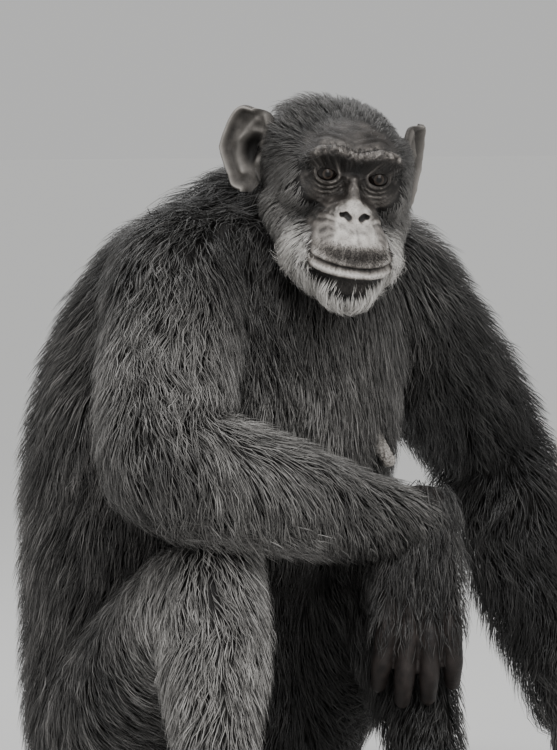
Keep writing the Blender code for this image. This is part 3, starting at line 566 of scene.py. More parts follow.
HEAD_SHAPES = (
    # a ball's middle and radii, or a rod's points and radii, and how softly it is joined on or, below 0,
    # carved out
    (ellipsoid, (44, 62, -8), (22, 48, 34), 14),
    (ellipsoid, (63, 86, -5), (12, 20, 32), 14),
    (ellipsoid, (0, 32, -2), (54, 34, 28), 12),
    (ellipsoid, (42, 34, -24), (17, 26, 18), 16),
    (ellipsoid, (0, -2, -44), (32, 34, 26), 12),
    (ellipsoid, (0, -10, -66), (42, 64, 30), 9),
    (ellipsoid, (0, -2, -88), (41, 62, 26), 8),
    (ellipsoid, (0, -46, -102), (23, 19, 14), 10),
    (tube, [(38, 14, -80), (50, 62, -46)], [18, 22], 14),
    (ellipsoid, (0, 48, -66), (46, 48, 38), 16),
    # brow, eye sockets, nose and nostrils
    (tube, BROW, [6.2, 6.8, 7.4, 6.8, 5.0], 3.5),
    (ellipsoid, (27, -15, 0), (20, 19, 15), -4),
    (tube, [(0, -3, -6), (0, -17, -22), (0, -26, -30)], [6.5, 7.5, 9], 5),
    (ellipsoid, (10, -26, -31.5), (9, 9, 7.5), 3.5),
    (ellipsoid, (0, -31, -32), (4.5, 6, 6), 3),
    (tube, [(6.4, -38, -35.0), (9.4, -36, -32.6), (13.0, -33, -33.4)], [3.2, 3.4, 2.2], -1.4),
    (tube, [(13, -32, -33), (17.5, -27, -28.5), (17.5, -24, -23)], [1.6, 1.3, 0.8], -2),
    # upper lip, lower lip, mouth line and the furrow under the lower lip
    (tube, shifted(MOUTH, 1.5, 4.5), [3.6, 3.6, 3.4, 3.0, 2.0], 3),
    (tube, shifted(MOUTH, 0.5, -6.0), [4.6, 4.6, 4.2, 3.4, 2.0], 3),
    (tube, shifted(MOUTH, -3.0, -0.5), [2.9, 2.9, 2.7, 2.4, 1.2], -1.2),
    (tube, [(0, -72, -91), (16, -68, -91), (30, -56, -90)], [2.4, 2.4, 1.6], -4),
)
LID_THICKNESS, LID_SOFTNESS, EYE_OPENING = 2.2, 2.5, (10.8, 7.2)


def head_distance(p):
    m = p.copy()
    m[:, 0] = np.abs(m[:, 0])
    d = ellipsoid(m, (0, 80, 11), (59, 76, 46))
    for shape, where, radii, soft in HEAD_SHAPES:
        added = shape(m, where, radii)
        d = join(d, added, soft) if soft > 0 else carve(d, added, -soft)
    lids = np.linalg.norm(m - np.array(EYE_CENTRE), axis=1) - (EYE_RADIUS + LID_THICKNESS)
    d = join(d, lids, LID_SOFTNESS)
    aside, up = (m[:, i] - EYE_CENTRE[i] for i in (0, 2))
    opening = np.hypot(aside / EYE_OPENING[0], up / EYE_OPENING[1]) - 1
    return carve(d, np.maximum(opening, (m[:, 1] - EYE_CENTRE[1] + 3) / 8) * 6, 1.0)


def half_face(p):
    """The distance from the midline, the depth and the height of points in the head's frame."""
    return np.abs(p[:, 0]), p[:, 1], p[:, 2]


def brow_line(x):
    """The height of the brow ridge's middle at each distance from the midline."""
    return np.interp(x, [point[0] for point in BROW], [point[2] for point in BROW])


def seen_in_front(x, z):
    """Places seen from the front, all at no depth."""
    return np.column_stack([x, z * 0, z])


def chain_gap(flat, line, radii=None):
    """The distance of places seen from the front to a line of (x, z) points, or to a chain of rods along
    it."""
    return tube(flat, [(x, 0, z) for x, z in line], radii or [0.0] * len(line))


def eye_arcs(start, stop, *arcs):
    """Creases that follow an eye: their reach sideways and upwards, their width and their depth."""
    angles = np.linspace(start, stop, 9)
    return [([(EYE_CENTRE[0] + reach * math.cos(a), rise * math.sin(a)) for a in angles], width, depth)
            for reach, rise, width, depth in arcs]


CREASES = (
    # the line of the crease from the front, its width and its depth
    *eye_arcs(0.3, math.pi - 0.15, (15, -12.5, 1.4, 1.8), (17, -17.5, 1.5, 1.9), (19, -22.5, 1.6, 1.6),
              (21, -27.5, 1.7, 1.2), (23, -33.0, 1.8, 0.8)),
    *eye_arcs(0.15, math.pi - 0.2, (15, 11.8, 1.3, 0.9), (17.5, 15.0, 1.4, 0.6)),
    ([(13, -21), (21, -29), (25, -34)], 1.8, 1.3),
    ([(11, -19), (17, -25), (21, -34)], 1.5, 0.9),
    ([(9, -6), (7, -14), (10, -22)], 1.4, 1.2),
    ([(20, -36), (26, -35), (33, -38)], 1.3, 1.9),
    ([(20, -41), (26, -41), (34, -45)], 1.3, 1.9),
    ([(21, -46), (27, -47), (33, -52)], 1.3, 1.6),
    ([(23, -51), (29, -54), (32, -58)], 1.2, 1.2),
    ([(34, -30), (41, -38), (45, -48)], 1.8, 1.0),
    ([(0, -42), (0, -54)], 1.3, 0.7),
    ([(0, -45.5), (8, -45), (15, -42)], 1.5, 1.1),
    ([(4, 10), (5, 17), (4, 26)], 1.4, 1.2),
    ([(0, 30), (12, 33), (26, 35), (40, 30)], 1.5, 1.0),
    ([(0, 35), (14, 38), (30, 39)], 1.5, 0.8),
)


def ripples(phase):
    """Waves between 0 and 1."""
    return 0.5 + 0.5 * np.sin(phase)


def face_folds(p):
    """Folds and creases of the bare face, in millimetres inwards: bags under the eyes, lines over the lids
    and on the forehead, creases beside the nose and on the lips. Bumps on the brow come out as less than
    nothing."""
    x, y, z = half_face(p)
    fold = np.zeros(len(p))
    flat = seen_in_front(x, z)
    uneven = 1 + 0.25 * wander(p, 9.0, 3)
    for line, width, depth in CREASES:
        fold += depth * peak(chain_gap(flat, line), width) * uneven * (y < 30)
    forehead = fade((z - 30) / 8) * fade((60 - z) / 10) * fade((46 - x) / 14) * (y < 60)
    fold += forehead * 0.4 * ripples(z * 1.3 + 1.6 * np.cos(x * 0.06) + wander(p, 14.0, 5))
    lip = fade((-50 - z) / 6) * fade((z + 78) / 6) * (y < 10)
    fold += lip * 0.3 * ripples(p[:, 0] * 1.25 + 2.0 * np.sin(z * 0.12))
    fold += peak(z + 84.5, 3.5) * (y < -20) * 0.3 * ripples(p[:, 0] * 1.7 + wander(p, 8.0, 6))
    brow = peak(z - brow_line(x) + 1, 6) * fade((52 - x) / 6) * (y < 16)
    fold -= brow * (1.5 * wander(p * (1, 0.3, 1), 7.5, 7) + 1.0 * wander(p * (1, 0.3, 1), 4.2, 8))
    around_eyes = soft_spot((x - 26) / 24, (z + 6) / 22, 4) * (y < 30)
    fold += around_eyes * 0.35 * (0.5 + 0.5 * wander(p, 3.4, 9))
    return fold


def head_points():
    """Rays from inside the head, closer together on the face, drawn onto its skin."""
    rays, faces = ball(7, 1)
    rays = unit(rays + np.array([0.0, -0.55, -0.12]))
    reach = np.full(len(rays), 190.0)
    middle = np.array(HEAD_MIDDLE)
    for _ in range(60):
        reach -= np.clip(head_distance(middle + rays * reach[:, None]), -6, 60) * 0.7
    points = middle + rays * reach[:, None]
    eyes = np.hypot((np.abs(points[:, 0]) - EYE_CENTRE[0]) / 12.0, points[:, 2] / 8.2) < 1
    points -= rays * (face_folds(points) * ~eyes)[:, None]
    return points, faces


def muzzle_width(z):
    """Half the width of the pale bare muzzle at each height."""
    return np.interp(z, [-92, -84, -78, -55, -42.5, -33.5, -28.5, -24.5, -21.5, -17.5],
                     [36, 40, 42, 38, 34, 27, 21, 14, 9, 3])


def face_tone(p):
    """How light the head's bare skin is, from 0, black, to 1, pale: black in the eye sockets, partly darker skin
    and partly painted shade under the brow ridge, a painted highlight along the brow's top edge, grey-black on the
    forehead and cheeks, pale on the nose and muzzle, dark again on the chin, and painted shade in the nostrils
    and the line of the mouth."""
    x, y, z = half_face(p)
    front = fade((26 - y) / 16)
    tone = np.full(len(p), 0.24) + 0.07 * wander(p, 22.0, 70)
    # Painted highlight: a pale band along the top edge of the brow ridge, where the light falls.
    rim = soft_spot((z - brow_line(x) - 4.5) / 4.2, x * 0) * fade((50 - x) / 6) * front
    tone += rim * (0.33 + 0.18 * wander(p, 7.0, 71))
    # Darker socket skin, partly real and partly painted shade under the brow ridge.
    tone -= 0.34 * soft_spot((z - brow_line(x) + 9.5) / 7.0, x / 60, 4) * front
    lids = np.hypot((x - 26.3) / 12.6, z / 9.2)
    broken = 0.7 + 0.5 * wander(p, 6.0, 73)
    tone += 0.30 * peak(lids - 1.00, 0.10) * front * broken
    tone += 0.22 * peak(lids - 1.55, 0.12) * front * broken * (0.6 + 0.4 * np.sign(-z))
    tone += 0.20 * peak(lids - 2.1, 0.14) * front * broken * (z < 0)
    tone += 0.24 * soft_spot((x - 27) / 19, (z + 20) / 13, 3) * front
    tone += (0.16 * soft_spot(x / 9, (z - 40) / 17) - 0.09 * soft_spot((x - 26) / 15, (z - 46) / 13)) * front
    tone += 0.26 * soft_spot(x / 9, (z + 12) / 8) * front
    muzzle = fade((muzzle_width(z) - x) / 5 + 0.5) * fade((-15 - z) / 5) * fade((z + 89) / 3)
    pale = 0.88 + 0.08 * soft_spot(x / 20, (z + 46) / 10) - 0.34 * soft_spot(x / 31, (z + 66) / 9, 4)
    pale += 0.16 * soft_spot((z + 83) / 3.4, x / 44, 4) + 0.08 * wander(p, 12.0, 72)
    pale -= 0.24 * fade((x - 17) / 12) * soft_spot((z + 42) / 17, x * 0, 4)
    tone = tone * (1 - muzzle * front) + pale * muzzle * front
    chin = soft_spot(x / 25, (z + 100) / 9, 3) * front
    tone = tone * (1 - chin) + (0.34 + 0.10 * wander(p, 5.0, 74)) * chin
    flat = seen_in_front(x, z)
    # Painted shade: the line of the mouth and the insides of the nostrils are blackened.
    mouth_line_shade = peak(chain_gap(flat, [(a, c) for a, _, c in MOUTH]), 1.9)
    inside = chain_gap(flat, [(6.4, -35.0), (9.4, -32.6), (13.0, -33.4)], [3.0, 3.2, 2.2])
    nostril_shade = fade(0.5 - inside / 1.5)
    tone = tone * (1 - 0.92 * nostril_shade * front) * (1 - 0.92 * mouth_line_shade * front)
    return fade(tone)


def stubble(p):
    """Where dark stubble grows, from 0 to 1: on the upper lip, on the chin and along the brow."""
    x, y, z = half_face(p)
    front = fade((16 - y) / 10)
    lip = soft_spot(x / 34, (z + 66) / 10, 4)
    chin = 0.8 * soft_spot(x / 25, (z + 99) / 10, 3)
    brow = 0.5 * soft_spot((z - brow_line(x) - 3) / 6, x / 50, 4)
    return np.maximum(np.maximum(lip, chin), brow) * front


def bare_face(p):
    """How bare the face is, from 0 to 1: round the eyes, on the brow, the nose, the muzzle and the upper
    chin."""
    x, y, z = half_face(p)
    eyes = fade((1.15 - np.hypot((x - 24) / 24, (z + 4) / 25)) / 0.15)
    muzzle = fade((muzzle_width(z) + 3 - x) / 5) * fade((z + 92) / 4) * (z < -14)
    chin = 0.96 * fade((1.15 - np.hypot(x / 21, (z + 95) / 10)) / 0.5)
    brow = fade((1.25 - np.hypot(x / 46, (z - 28) / 38)) / 0.45) * (1 - 0.12 * fade((z - 32) / 10))
    return np.maximum(np.maximum(eyes, muzzle), np.maximum(brow, chin)) * fade((44 - y) / 16)


def hair_on_head(p):
    """Where hair grows on the head, from 0 to 1: none on the bare face, thin on the forehead, thick on the
    chin."""
    x, y, z = half_face(p)
    forehead = fade((z - 20) / 12) * fade((60 - x) / 12)
    thin = 1 - 0.6 * forehead * fade((56 - y) / 34)
    return (1 - bare_face(p)) * thin


def beard_area(p):
    """Where the white beard grows: beside the mouth, along the jaw and under the chin."""
    x, y, z = half_face(p)
    below = fade((-43 - z) / 24)
    near = fade(1 - (x - 44 - 0.20 * np.maximum(0, -58 - z)) / 11)
    limit = np.interp(z, [-104, -84, -62, -46], [60, 46, 30, 20])
    return below * near * fade((limit + 8 - y) / 20)


def hair_pale(p):
    """How white the head's hair is, from 0 to 1: black on the crown, grey on the cheeks, white on jaw and
    chin."""
    x, y, z = half_face(p)
    cheek = fade((22 - z) / 44) * fade((84 - y) / 40) * fade((x - 34) / 16)
    return fade(0.05 + 0.27 * cheek + 1.1 * beard_area(p))


# Ears: a cupped shell with a rolled rim, standing out from the side of the head.
EAR_HEIGHT, EAR_ROOT = 84.0, (74.0, 86.0, -3.0)
EAR_DEPTH = {"right": 49.0, "left": 44.0}
EAR_FLARE = {"right": math.radians(30), "left": math.radians(66)}


def ear_shell(side):
    """The ear's closed shell, with painted shade for its hollows and a painted highlight for its rims and ridges:
    a rolled rim that runs down in front, a forked ridge inside it, a hollow with a tab before it, and a small lobe."""
    across, tall = 60, 80
    u, v = np.meshgrid(np.linspace(0, 1, across), np.linspace(0.004, 0.996, tall))
    around = math.pi * (v - 0.5)
    height = EAR_HEIGHT * 0.5 * np.sin(around) * (1.0 + 0.06 * np.cos(around))
    middle = np.interp(v, [0.0, 0.3, 0.7, 1.0], [14, 20, 24, 24])
    round_off = np.cos(around) ** 0.55
    outer = middle + round_off * (EAR_DEPTH[side] - middle) * (1 - 0.5 * fade((0.45 - v) / 0.2))
    inner = middle - round_off * (middle + 4)
    reach = inner + (outer - inner) * u
    gap = np.hypot(reach[..., None] - outer[:, -1], height[..., None] - height[:, -1]).min(-1)
    flat = np.stack([reach, reach * 0, height], -1).reshape(-1, 3)

    def fold(points, width):
        return peak(chain_gap(flat, points), width).reshape(reach.shape)

    bead = peak(gap - 2.4, 2.2)
    furrow = peak(gap - 8.0, 2.4)
    root = fold([(12, 37), (6, 26), (6, 14), (12, 5)], 3.2)
    ridge = fold([(18, -24), (28, -10), (31, 5), (27, 19), (20, 30)], 3.8)
    branch = fold([(30, 8), (22, 18), (13, 21)], 3.2)
    bowl = soft_spot((reach - 18) / 11, (height + 1) / 17, 3)
    dip = soft_spot((reach - 19) / 5, (height - 26) / 5)
    tab = soft_spot((reach - 9) / 4.5, (height + 8) / 6)
    knob = soft_spot((reach - 19) / 5, (height + 22) / 4.5)
    dish = 6.0 * (1 - peak(gap, 10))
    front = dish + 1.2 * furrow - 3.6 * ridge - 2.6 * branch + 13.0 * bowl + 2.5 * dip
    front = front - 6.0 * tab - 3.0 * knob - 3.6 * root - 4.6 * bead
    front = front + 0.5 * wander(flat, 9.0, 4).reshape(reach.shape)
    rear = np.maximum(dish + 3.4 + 5.0 * bowl - 2.0 * bead, front + 2.4)
    # Painted shade, darkest in the bowl and hollows and less on the ridges.
    hollow_shade = 1.3 * bowl + 0.22 * furrow + 0.45 * dip
    hollow_shade = fade(hollow_shade - 0.4 * ridge - 0.4 * branch - 0.8 * tab - 0.4 * root - 0.4 * knob)
    # Painted highlight on the rim bead, the ridges, the tab, the root fold and the knob.
    light = fade(bead + 0.40 * ridge + 0.3 * branch + 0.5 * tab + 0.5 * root + 0.3 * knob)
    sheets = [np.stack([reach, depth, height], -1).reshape(-1, 3) for depth in (front, rear)]
    points = np.concatenate(sheets)
    grid = np.arange(across * tall).reshape(tall, across)
    quads = np.stack([grid[:-1, :-1], grid[:-1, 1:], grid[1:, 1:], grid[1:, :-1]], -1).reshape(-1, 4)
    count = across * tall
    edge = np.concatenate([grid[0, :], grid[1:, -1], grid[-1, -2::-1], grid[-2:0:-1, 0]])
    after = np.roll(edge, -1)
    wall = np.stack([edge, edge + count, after + count, after], -1)
    faces = np.concatenate([quads, quads[:, ::-1] + count, wall])
    turn = Matrix.Rotation(EAR_FLARE[side], 4, "Z") @ Matrix.Rotation(math.radians(-8), 4, "Y")
    # The back sheet gets a weaker painted highlight on its rim and an even painted shade.
    light = np.concatenate([light.ravel(), 0.5 * bead.ravel()])
    hollow_shade = np.concatenate([hollow_shade.ravel(), np.full(count, 0.3)])
    return moved(points, Matrix.Translation(EAR_ROOT) @ turn), faces, hollow_shade, light


def outwards(mesh):
    """Turns a closed mesh's faces outwards."""
    bm = bmesh.new()
    bm.from_mesh(mesh)
    bmesh.ops.recalc_face_normals(bm, faces=bm.faces)
    bm.to_mesh(mesh)
    bm.free()
    return mesh


# Hands and feet.

def add_finger(bm, points, radii):
    """Adds a finger along points. Returns its tip's place, way and radius."""
    rows = round_rows([np.array(p) - SHIFT for p in points], radii)
    along = unit(np.array(points[-1]) - np.array(points[0]))
    Limb(rows, unit(np.cross(along, (0.31, 0.52, 0.79))), dome=0.8).mesh(bm, 18, 16)
    return points[-1], unit(points[-1] - points[-2]), radii[-1]


def hand_frame(name):
    """The wrist, the way to the fingers, the way out of the back of the hand, and the side that the thumb is
    on."""
    if name == "hand_right":
        wrist, down, dorsal, thumb = WRIST_R, (-0.20, -0.19, -0.96), (-0.62, -0.78, 0.10), 1
    else:
        down = np.array(WRIST_L) - np.array(ELBOW_L) + (-0.03, -0.01, -0.06)
        wrist, dorsal, thumb = WRIST_L, (0.25, -0.97, 0.2), -1
    down, dorsal = unit(np.array(down, float)), np.array(dorsal, float)
    dorsal = unit(dorsal - down * (dorsal @ down))
    return placed(wrist), down, dorsal, np.cross(down, dorsal) * thumb


def hand_mesh(name):
    """A palm, four fingers and a thumb, with thicker joints. The propped hand bends its fingers under it."""
    wrist, down, dorsal, side = hand_frame(name)
    knuckle = name == "hand_left"
    palm_length, half_width = 0.086, 0.036
    bm = bmesh.new()
    rows = [
        (wrist + down * -0.030 - SHIFT, 0.022, 0.018, 0.018, 0, 0),
        (wrist + down * 0.012 - SHIFT, 0.028, 0.017, 0.018, 0, 0),
        (wrist + down * 0.045 - SHIFT, 0.036, 0.014, 0.018, 0, 0),
        (wrist + down * palm_length - SHIFT, 0.038, 0.012, 0.013, 0, 0),
    ]
    Limb(rows, side, dome=0.45).mesh(bm, 16, 24)
    tips = []
    for i, length in enumerate((0.083, 0.098, 0.094, 0.078)):
        across = side * (half_width * (0.80 - 0.53 * i))
        root = wrist + down * (palm_length - 0.012) + across
        if knuckle:
            points = [
                root, root + down * 0.018 + dorsal * 0.020, root + down * 0.032 + dorsal * 0.034,
                root + down * 0.038 + dorsal * 0.022, root + down * 0.036 + dorsal * 0.004,
            ]
            add_finger(bm, points[:3], [0.0125, 0.0122, 0.0130])
            add_finger(bm, points[2:], [0.0130, 0.0124, 0.0115])
        else:
            spread = side * (0.10 - 0.066 * i) * length
            bend = [(0, 0, 0), (0.20, 0.003, 0.2), (0.42, 0.004, 0.4), (0.60, -0.002, 0.6),
                    (0.78, -0.010, 0.8), (0.90, -0.021, 0.9), (1.0, -0.034, 1.0)]
            points = [root + down * length * f + dorsal * out + spread * s for f, out, s in bend]
            tips.append(add_finger(bm, points, [0.0122, 0.0108, 0.0116, 0.0102, 0.0106, 0.0092, 0.0082]))
    if knuckle:
        heart = [(wrist + down * t + dorsal * 0.010 - SHIFT, 0.034, 0.016, 0.020, 0, 0)
                 for t in (0.060, 0.085, 0.104)]
        Limb(heart, side, dome=0.4).mesh(bm, 8, 20)
    base = wrist + down * 0.022 + side * 0.020 - dorsal * 0.006
    thumb = [base, base + down * 0.026 + side * 0.016 - dorsal * 0.008,
             base + down * 0.052 + side * 0.020 - dorsal * 0.014]
    tips.append(add_finger(bm, thumb, [0.012, 0.0105, 0.0080]))
    return on_floor(remeshed(bm, name, 0.0019, 3)), tips, dorsal


FEET = {
    # the ankle, the way to the toes and the way to the inner side
    "foot_right": (ANKLE_R, (-0.34, -0.94, 0), (0.94, -0.34, 0)),
    "foot_left": (ANKLE_L, (0.10, -0.99, 0), (-0.99, -0.10, 0)),
}


def foot_mesh(name):
    """A long flat foot with four toes, and a big toe that stands inwards."""
    ankle, toes, inner = FEET[name]
    ankle, toes, inner = np.array(ankle), unit(np.array(toes, float)), unit(np.array(inner, float))
    heel = ankle * (1, 1, 0) - toes * 0.040
    rows = [
        (heel + UP * 0.024 + toes * 0.004, 0.022, 0.026, 0.024, 0, 0),
        (heel + UP * 0.026 + toes * 0.030, 0.030, 0.032, 0.026, 0, 0),
        (heel + UP * 0.025 + toes * 0.070, 0.033, 0.030, 0.025, 0, 0),
        (heel + UP * 0.020 + toes * 0.115, 0.038, 0.020, 0.020, 0, 0),
        (heel + UP * 0.016 + toes * 0.150, 0.038, 0.015, 0.016, 0, 0),
    ]
    bm = bmesh.new()
    Limb(rows, inner, dome=0.5).mesh(bm, 20, 24)
    leg = round_rows([ankle * (1, 1, 0) + UP * 0.030, ankle + UP * 0.030], [0.027, 0.027])
    Limb(leg, inner, dome=0.4).mesh(bm, 8, 20)
    tips = []
    for i, length in enumerate((0.062, 0.066, 0.062, 0.052)):
        root = placed(heel + toes * 0.140 + inner * (0.026 - 0.018 * i) + UP * 0.014)
        points = [root, root + toes * length * 0.5 + UP * 0.006, root + toes * length - UP * 0.003]
        tips.append(add_finger(bm, points, [0.0115, 0.0110, 0.0095]))
    base = placed(heel + toes * 0.078 + inner * 0.022 + UP * 0.016)
    big = [base, base + toes * 0.030 + inner * 0.030, base + toes * 0.070 + inner * 0.042 - UP * 0.002]
    tips.append(add_finger(bm, big, [0.016, 0.014, 0.011]))
    return on_floor(remeshed(bm, name, 0.0021, 3)), tips, UP


def nail_mesh(name, tips, out):
    """Small curved nails on the backs of the fingertips."""
    bm = bmesh.new()
    for tip, along, radius in tips:
        up = unit(out - along * (out @ along))
        side = np.cross(along, up)
        rows = []
        for f in np.linspace(0, 1, 7):
            here = tip + along * radius * (-0.55 + 1.25 * f) + up * radius * (0.55 - 0.25 * f * f)
            wide = radius * 0.68 * math.sin(math.pi * (0.22 + 0.60 * f)) ** 0.6
            rows.append((here - SHIFT, wide, radius * 0.42, radius * 0.30, 0, 0))
        Limb(rows, side, dome=0.25).mesh(bm, 7, 14)
    bmesh.ops.recalc_face_normals(bm, faces=bm.faces)
    return on_floor(released(bm, name))


# The coat: thin closed blades of three sides, pointed at both ends, scattered on the skin and laid along it.
BLADE_FACES = np.array(
    [(0, 1 + (i + 1) % 3, 1 + i) for i in range(3)]
    + [(1 + i, 1 + (i + 1) % 3, 4 + (i + 1) % 3) for i in range(3)]
    + [(1 + i, 4 + (i + 1) % 3, 4 + i) for i in range(3)]
    + [(4 + i, 4 + (i + 1) % 3, 7) for i in range(3)]
)
BLADE_ALONG = np.array([0, 0.34, 0.34, 0.34, 0.70, 0.70, 0.70, 1.0])
BLADE_ASIDE = np.array([0.5, 0, 0.5, 1, 0, 0.5, 1, 0.5])
PATCH = 0.003
BLADES_PER_PIECE = 15500
ROOT_DEPTH = 0.0015
# each step along a blade: its share of the length, the share of the height that it reaches, and its bend
BLADE_STEPS = ((0.34, 0.50, 1.0), (0.36, 0.82, -1.8), (0.30, 1.0, 1.2))


def scattered(mesh, count, weight, seed):
    """Points and normals spread over a mesh, as dense as weight says at each of its vertices."""
    mesh.calc_loop_triangles()
    corners = np.empty(len(mesh.loop_triangles) * 3, np.int32)
    mesh.loop_triangles.foreach_get("vertices", corners)
    corners = corners.reshape(-1, 3)
    points = mesh_points(mesh)
    a, b, c = points[corners[:, 0]], points[corners[:, 1]], points[corners[:, 2]]
    cross = np.cross(b - a, c - a)
    area = np.linalg.norm(cross, axis=1) / 2 * weight[corners].mean(1)
    draw = np.random.default_rng(seed)
    pick = np.sort(draw.choice(len(area), count, p=area / area.sum()))
    u, v = draw.random(count), draw.random(count)
    flip = u + v > 1
    u[flip], v[flip] = 1 - u[flip], 1 - v[flip]
    found = a[pick] + (b - a)[pick] * u[:, None] + (c - a)[pick] * v[:, None]
    return found, unit(cross[pick])


def tree_of(*objects):
    bm = bmesh.new()
    for obj in objects:
        bm.from_mesh(obj.data)
    tree = BVHTree.FromBMesh(bm)
    bm.free()
    return tree


def nearest(tree, points):
    skins, normals = np.empty_like(points), np.empty_like(points)
    for k, point in enumerate(points):
        skin, normal, _, _ = tree.find_nearest(Vector(point))
        skins[k], normals[k] = skin, normal
    return skins, normals


def clumped(roots, size):
    """Which clump each root belongs to, and how many clumps there are."""
    jitter = np.column_stack([wander(roots, size * 4, 90 + k) for k in range(3)]) * size * 0.5
    cells = np.floor((roots + jitter) / size).astype(int)
    _, clump = np.unique(cells, axis=0, return_inverse=True)
    clump = clump.ravel()
    return clump, clump.max() + 1


def blade_paths(roots, normals, flow, lengths, heights, tree, stick, lift, clump_size, gather, seed):
    """Four points along each blade. It starts in the skin and lies along the body in a slight wave, and the
    blades of a clump draw together towards their tips. stick is how far a blade follows the skin rather than
    hanging free of it, and lift is how far its free part stands out."""
    draw = np.random.default_rng(seed)
    clump, clumps = clumped(roots, clump_size)
    stray = draw.normal(size=(clumps, 3))[clump] * 0.11 + draw.normal(size=roots.shape) * 0.07
    way = unit(flow) + stray
    way = square_to(way, normals)
    lengths = lengths * draw.uniform(0.65, 1.2, len(roots)) * draw.uniform(0.85, 1.1, clumps)[clump]
    heights = heights * draw.uniform(0.40, 1.15, len(roots)) * draw.uniform(0.75, 1.05, clumps)[clump]
    wave = draw.normal(size=clumps)[clump] * 0.15 + draw.normal(size=len(roots)) * 0.12
    path, outs = [roots - normals * ROOT_DEPTH], [normals]
    at, out = roots, normals
    for run, rise, bend in BLADE_STEPS:
        ahead = at + way * (lengths * run)[:, None]
        skin, normal = nearest(tree, ahead)
        lying = skin + normal * (heights * rise)[:, None]
        free = path[-1] + unit(way + out * lift[:, None]) * (lengths * run)[:, None]
        path.append(lying * stick[:, None] + free * (1 - stick)[:, None])
        at = skin
        out = unit(out * 0.4 + normal * 0.6)
        outs.append(out)
        way = way + np.cross(normal, way) * (wave * bend)[:, None]
        way = square_to(way, normal)
    size = np.bincount(clump, minlength=clumps)
    for k, pull in ((2, gather * 0.45), (3, gather)):
        middle = np.column_stack([np.bincount(clump, path[k][:, i], clumps) / size for i in range(3)])
        path[k] = path[k] * (1 - pull) + middle[clump] * pull
    for point in path[1:]:
        point[:, 2] = np.maximum(point[:, 2], BLADE_LEVEL)
    path[0][:, 2] = np.maximum(path[0][:, 2], ROOT_LEVEL)
    tone = draw.uniform(0, 1, len(roots)) * 0.6 + draw.uniform(0, 1, clumps)[clump] * 0.4
    return np.stack(path, 1), np.stack(outs, 1), tone


def blade_mesh(name, paths, outs, width, uv, tone, pale):
    """The joined mesh of many blades, with their place on the skin as a UV map and their tones as
    attributes."""
    count, corners = len(paths), len(BLADE_ALONG)
    parts = [paths[:, 0:1]]
    for k, share in ((1, 1.0), (2, 0.72)):
        way = unit(paths[:, k + 1] - paths[:, k - 1])
        out = square_to(outs[:, k], way)
        aside = np.cross(way, out) * (width * share / 2)[:, None]
        top = out * (width * share * 0.4)[:, None]
        parts.append(np.stack([paths[:, k] - aside, paths[:, k] + top, paths[:, k] + aside], 1))
    points = np.concatenate([*parts, paths[:, 3:4]], 1).reshape(-1, 3)
    faces = (BLADE_FACES[None] + (np.arange(count) * corners)[:, None, None]).reshape(-1, 3)
    mesh = array_mesh(name, points, faces)
    point_values(mesh, "coat_tone", np.repeat(tone, corners))
    point_values(mesh, "coat_along", np.tile(BLADE_ALONG, count))
    point_values(mesh, "coat_pale", np.repeat(pale, corners))
    spot = np.stack([np.repeat(uv[:, 0], corners) + np.tile(BLADE_ASIDE, count) * PATCH,
                     np.repeat(uv[:, 1], corners) + np.tile(BLADE_ALONG, count) * PATCH], 1)
    set_patches(mesh, spot, faces)
    return mesh


def set_patches(mesh, spot, faces):
    layer = mesh.uv_layers.new(name="OFBake")
    layer.data.foreach_set("uv", spot[faces.ravel()].astype(np.float32).ravel())


def coat_pieces(title, chosen, strands, look, *nodes):
    """Makes pieces of at most BLADES_PER_PIECE blades from the chosen ones, in bands round the body."""
    chosen = chosen[np.argsort(strands["uv"][chosen, 0], kind="stable")]
    shares = np.array_split(chosen, math.ceil(len(chosen) / BLADES_PER_PIECE))
    for n, some in enumerate(shares):
        name = title + (f"_{n + 1}" if len(shares) > 1 else "")
        values = (strands[key][some] for key in ("paths", "outs", "width", "uv", "tone", "pale"))
        mesh = blade_mesh(name, *values)
        new_piece(name, mesh, look, "coat", *nodes)


COAT_BLEND = 0.020  # how far the coats of neighbouring limbs run into each other


def body_lie(points):
    """For points on the body's skin: the coat's way, length and depth there, and the limb, place and
    angle."""
    names = list(LIMBS)
    located = [LIMBS[name].locate(points) for name in names]
    weights = np.stack([peak(np.maximum(found[2], 0), COAT_BLEND) for found in located], 1) + 1e-9
    weights /= weights.sum(1, keepdims=True)
    flow, length, depth = np.zeros_like(points), np.zeros(len(points)), np.zeros(len(points))
    for k, name in enumerate(names):
        at, _, _, coat = located[k]
        flow += LIMBS[name].flow(at) * weights[:, k:k + 1]
        length += LIMBS[name].length * weights[:, k]
        depth += coat * weights[:, k]
    part = weights.argmax(1)
    spots = np.stack([np.stack([(found[1] / (2 * math.pi)) % 1.0, found[0] / 60], 1) for found in located],
                     1)
    return flow, length, depth, part, spots[np.arange(len(points)), part] * (1 - PATCH)


def body_grey_and_sheen(points):
    """How grey the body's coat is, from 0 to 1, partly grey hair and partly painted sheen where the light falls:
    greyer on the breast, the front of the right arm and the knees."""
    x, y, z = (points - SHIFT).T
    breast = soft_spot((x - 0.03) / 0.12, (z - 0.47) / 0.13) * fade((-0.10 - y) / 0.04)
    arm = soft_spot((x + 0.17) / 0.09, (z - 0.49) / 0.13) * fade((-0.12 - y) / 0.06)
    knee = soft_spot((x + 0.16) / 0.10, (z - 0.20) / 0.14) * fade((-0.10 - y) / 0.08)
    return np.clip(0.95 * breast + 0.9 * arm + 1.3 * knee, 0, 1.3)


